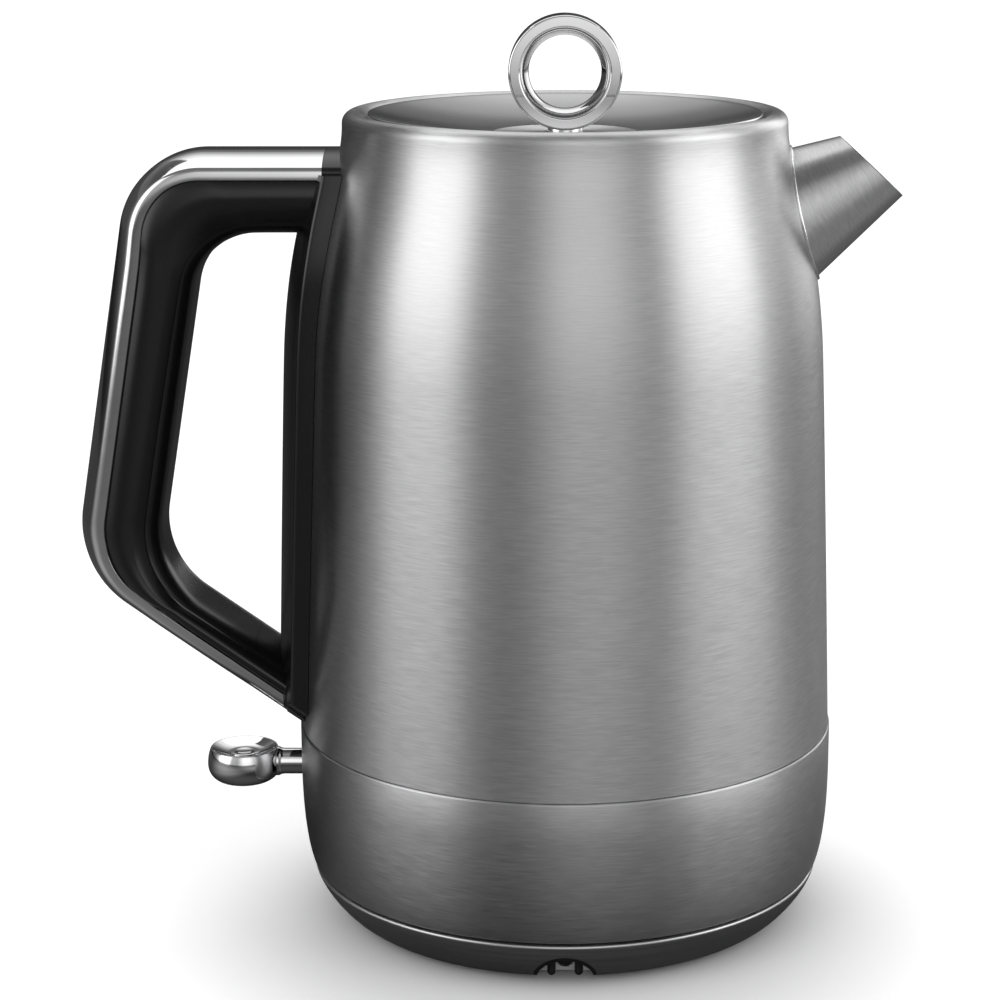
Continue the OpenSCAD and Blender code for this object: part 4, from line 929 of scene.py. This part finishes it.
disc = turned("lid_disc_let_in",
    [(0, 222.25), (20, 222.25), (20, 222.6), (19.9, 222.73), (19.7, disc_top), (0, disc_top)])
disc_steel = brushed_steel("satin lid disc", (0.7, 0.7, 0.705), (0.74, 0.74, 0.745), 0.42,
    stretch=lid_grain, grain=0.004)
fix(disc, "lid", "lid_steel", disc_steel, "lid_disc")
pedestal = turned("lid_pedestal_turned",
    [(0, disc_top), (4.8, disc_top), (4.8, 224.2), (4.7, 224.4), (4.5, 224.5), (0, 224.5)], steps=96)
fix(pedestal, "lid", "bright_metal", bright_cup, "lid_pedestal")

# ---- Ring handle ----
# A heavy cast ring, chromed. Both faces are flat and step down to a rounded finger hole. It stands in the plane of the
# spout and the handle, half a degree off.
bow_radius = (5.5 ** 2 + 2.3 ** 2) / 4.6
bore = [(9.9 + bow_radius - math.sqrt(bow_radius ** 2 - y * y), y) for y in [-5.5 + 11 * i / 20 for i in range(21)]]
ring_side = [(12.35, 5.5), (12.45, 5.56), (12.52, 5.9), (12.6, 5.98), (12.7, 6), (14.85, 6), (15.1, 5.93), (15.3, 5.8),
    (15.44, 5.6), (15.5, 5.35)]
ring_piece = draw("lid_ring_cast", bore + ring_side + [(x, -y) for x, y in reversed(ring_side)])
bpy.ops.mesh.select_all(action="SELECT")
bpy.ops.transform.rotate(value=math.pi / 2, orient_axis="X", center_override=(0, 0, 0))
bpy.ops.mesh.spin(steps=160, angle=math.tau, center=(0, 0, 0), axis=(0, 1, 0))
bpy.ops.mesh.select_all(action="SELECT")
bpy.ops.mesh.remove_doubles(threshold=1e-6)
bpy.ops.mesh.normals_make_consistent(inside=False)
bpy.ops.transform.translate(value=(0, 0, 0.2392))
bpy.ops.transform.rotate(value=math.radians(-0.5), orient_axis="Z", center_override=(0, 0, 0))
bpy.ops.object.mode_set(mode="OBJECT")
ring_chrome = polished("chrome plating of the ring", (0.62, 0.62, 0.625), (0.66, 0.66, 0.665), 0.06)
fix(ring_piece, "lid", "lid_steel", ring_chrome, "lid_ring", crease=10)

# ---- Under the lid ----
# A black plug with steam holes hangs under the lid, sealed by a soft ring against the seat in the neck. The ring round
# the heating plate is of the same rubber.
finish_nodes(speckled("seal rubber", 1300, 3, (0.05, 0.05, 0.05), (0.085, 0.085, 0.086), (0.5, 0.65),
    bump=(0.15, 0.00005)), "lid_seal", "plate_seal")

# ---- Heating ----
# The floor of the jug is a steel plate with an aluminium spreader and a tubular element cast against it from below.
# The element's sheath has the dull grey of heated metal.
finish_nodes(jug_steel, "heating_plate", "steam_tube")
finish_nodes(speckled("cast aluminium", 700, 5, (0.55, 0.56, 0.57), (0.72, 0.72, 0.73), (0.42, 0.58), metal=1,
    bump=(0.25, 0.0001)), "heat_spreader")
finish_nodes(speckled("element sheath", 420, 5, (0.16, 0.15, 0.14), (0.32, 0.3, 0.28), (0.4, 0.6), metal=0.9),
    "heating_element")
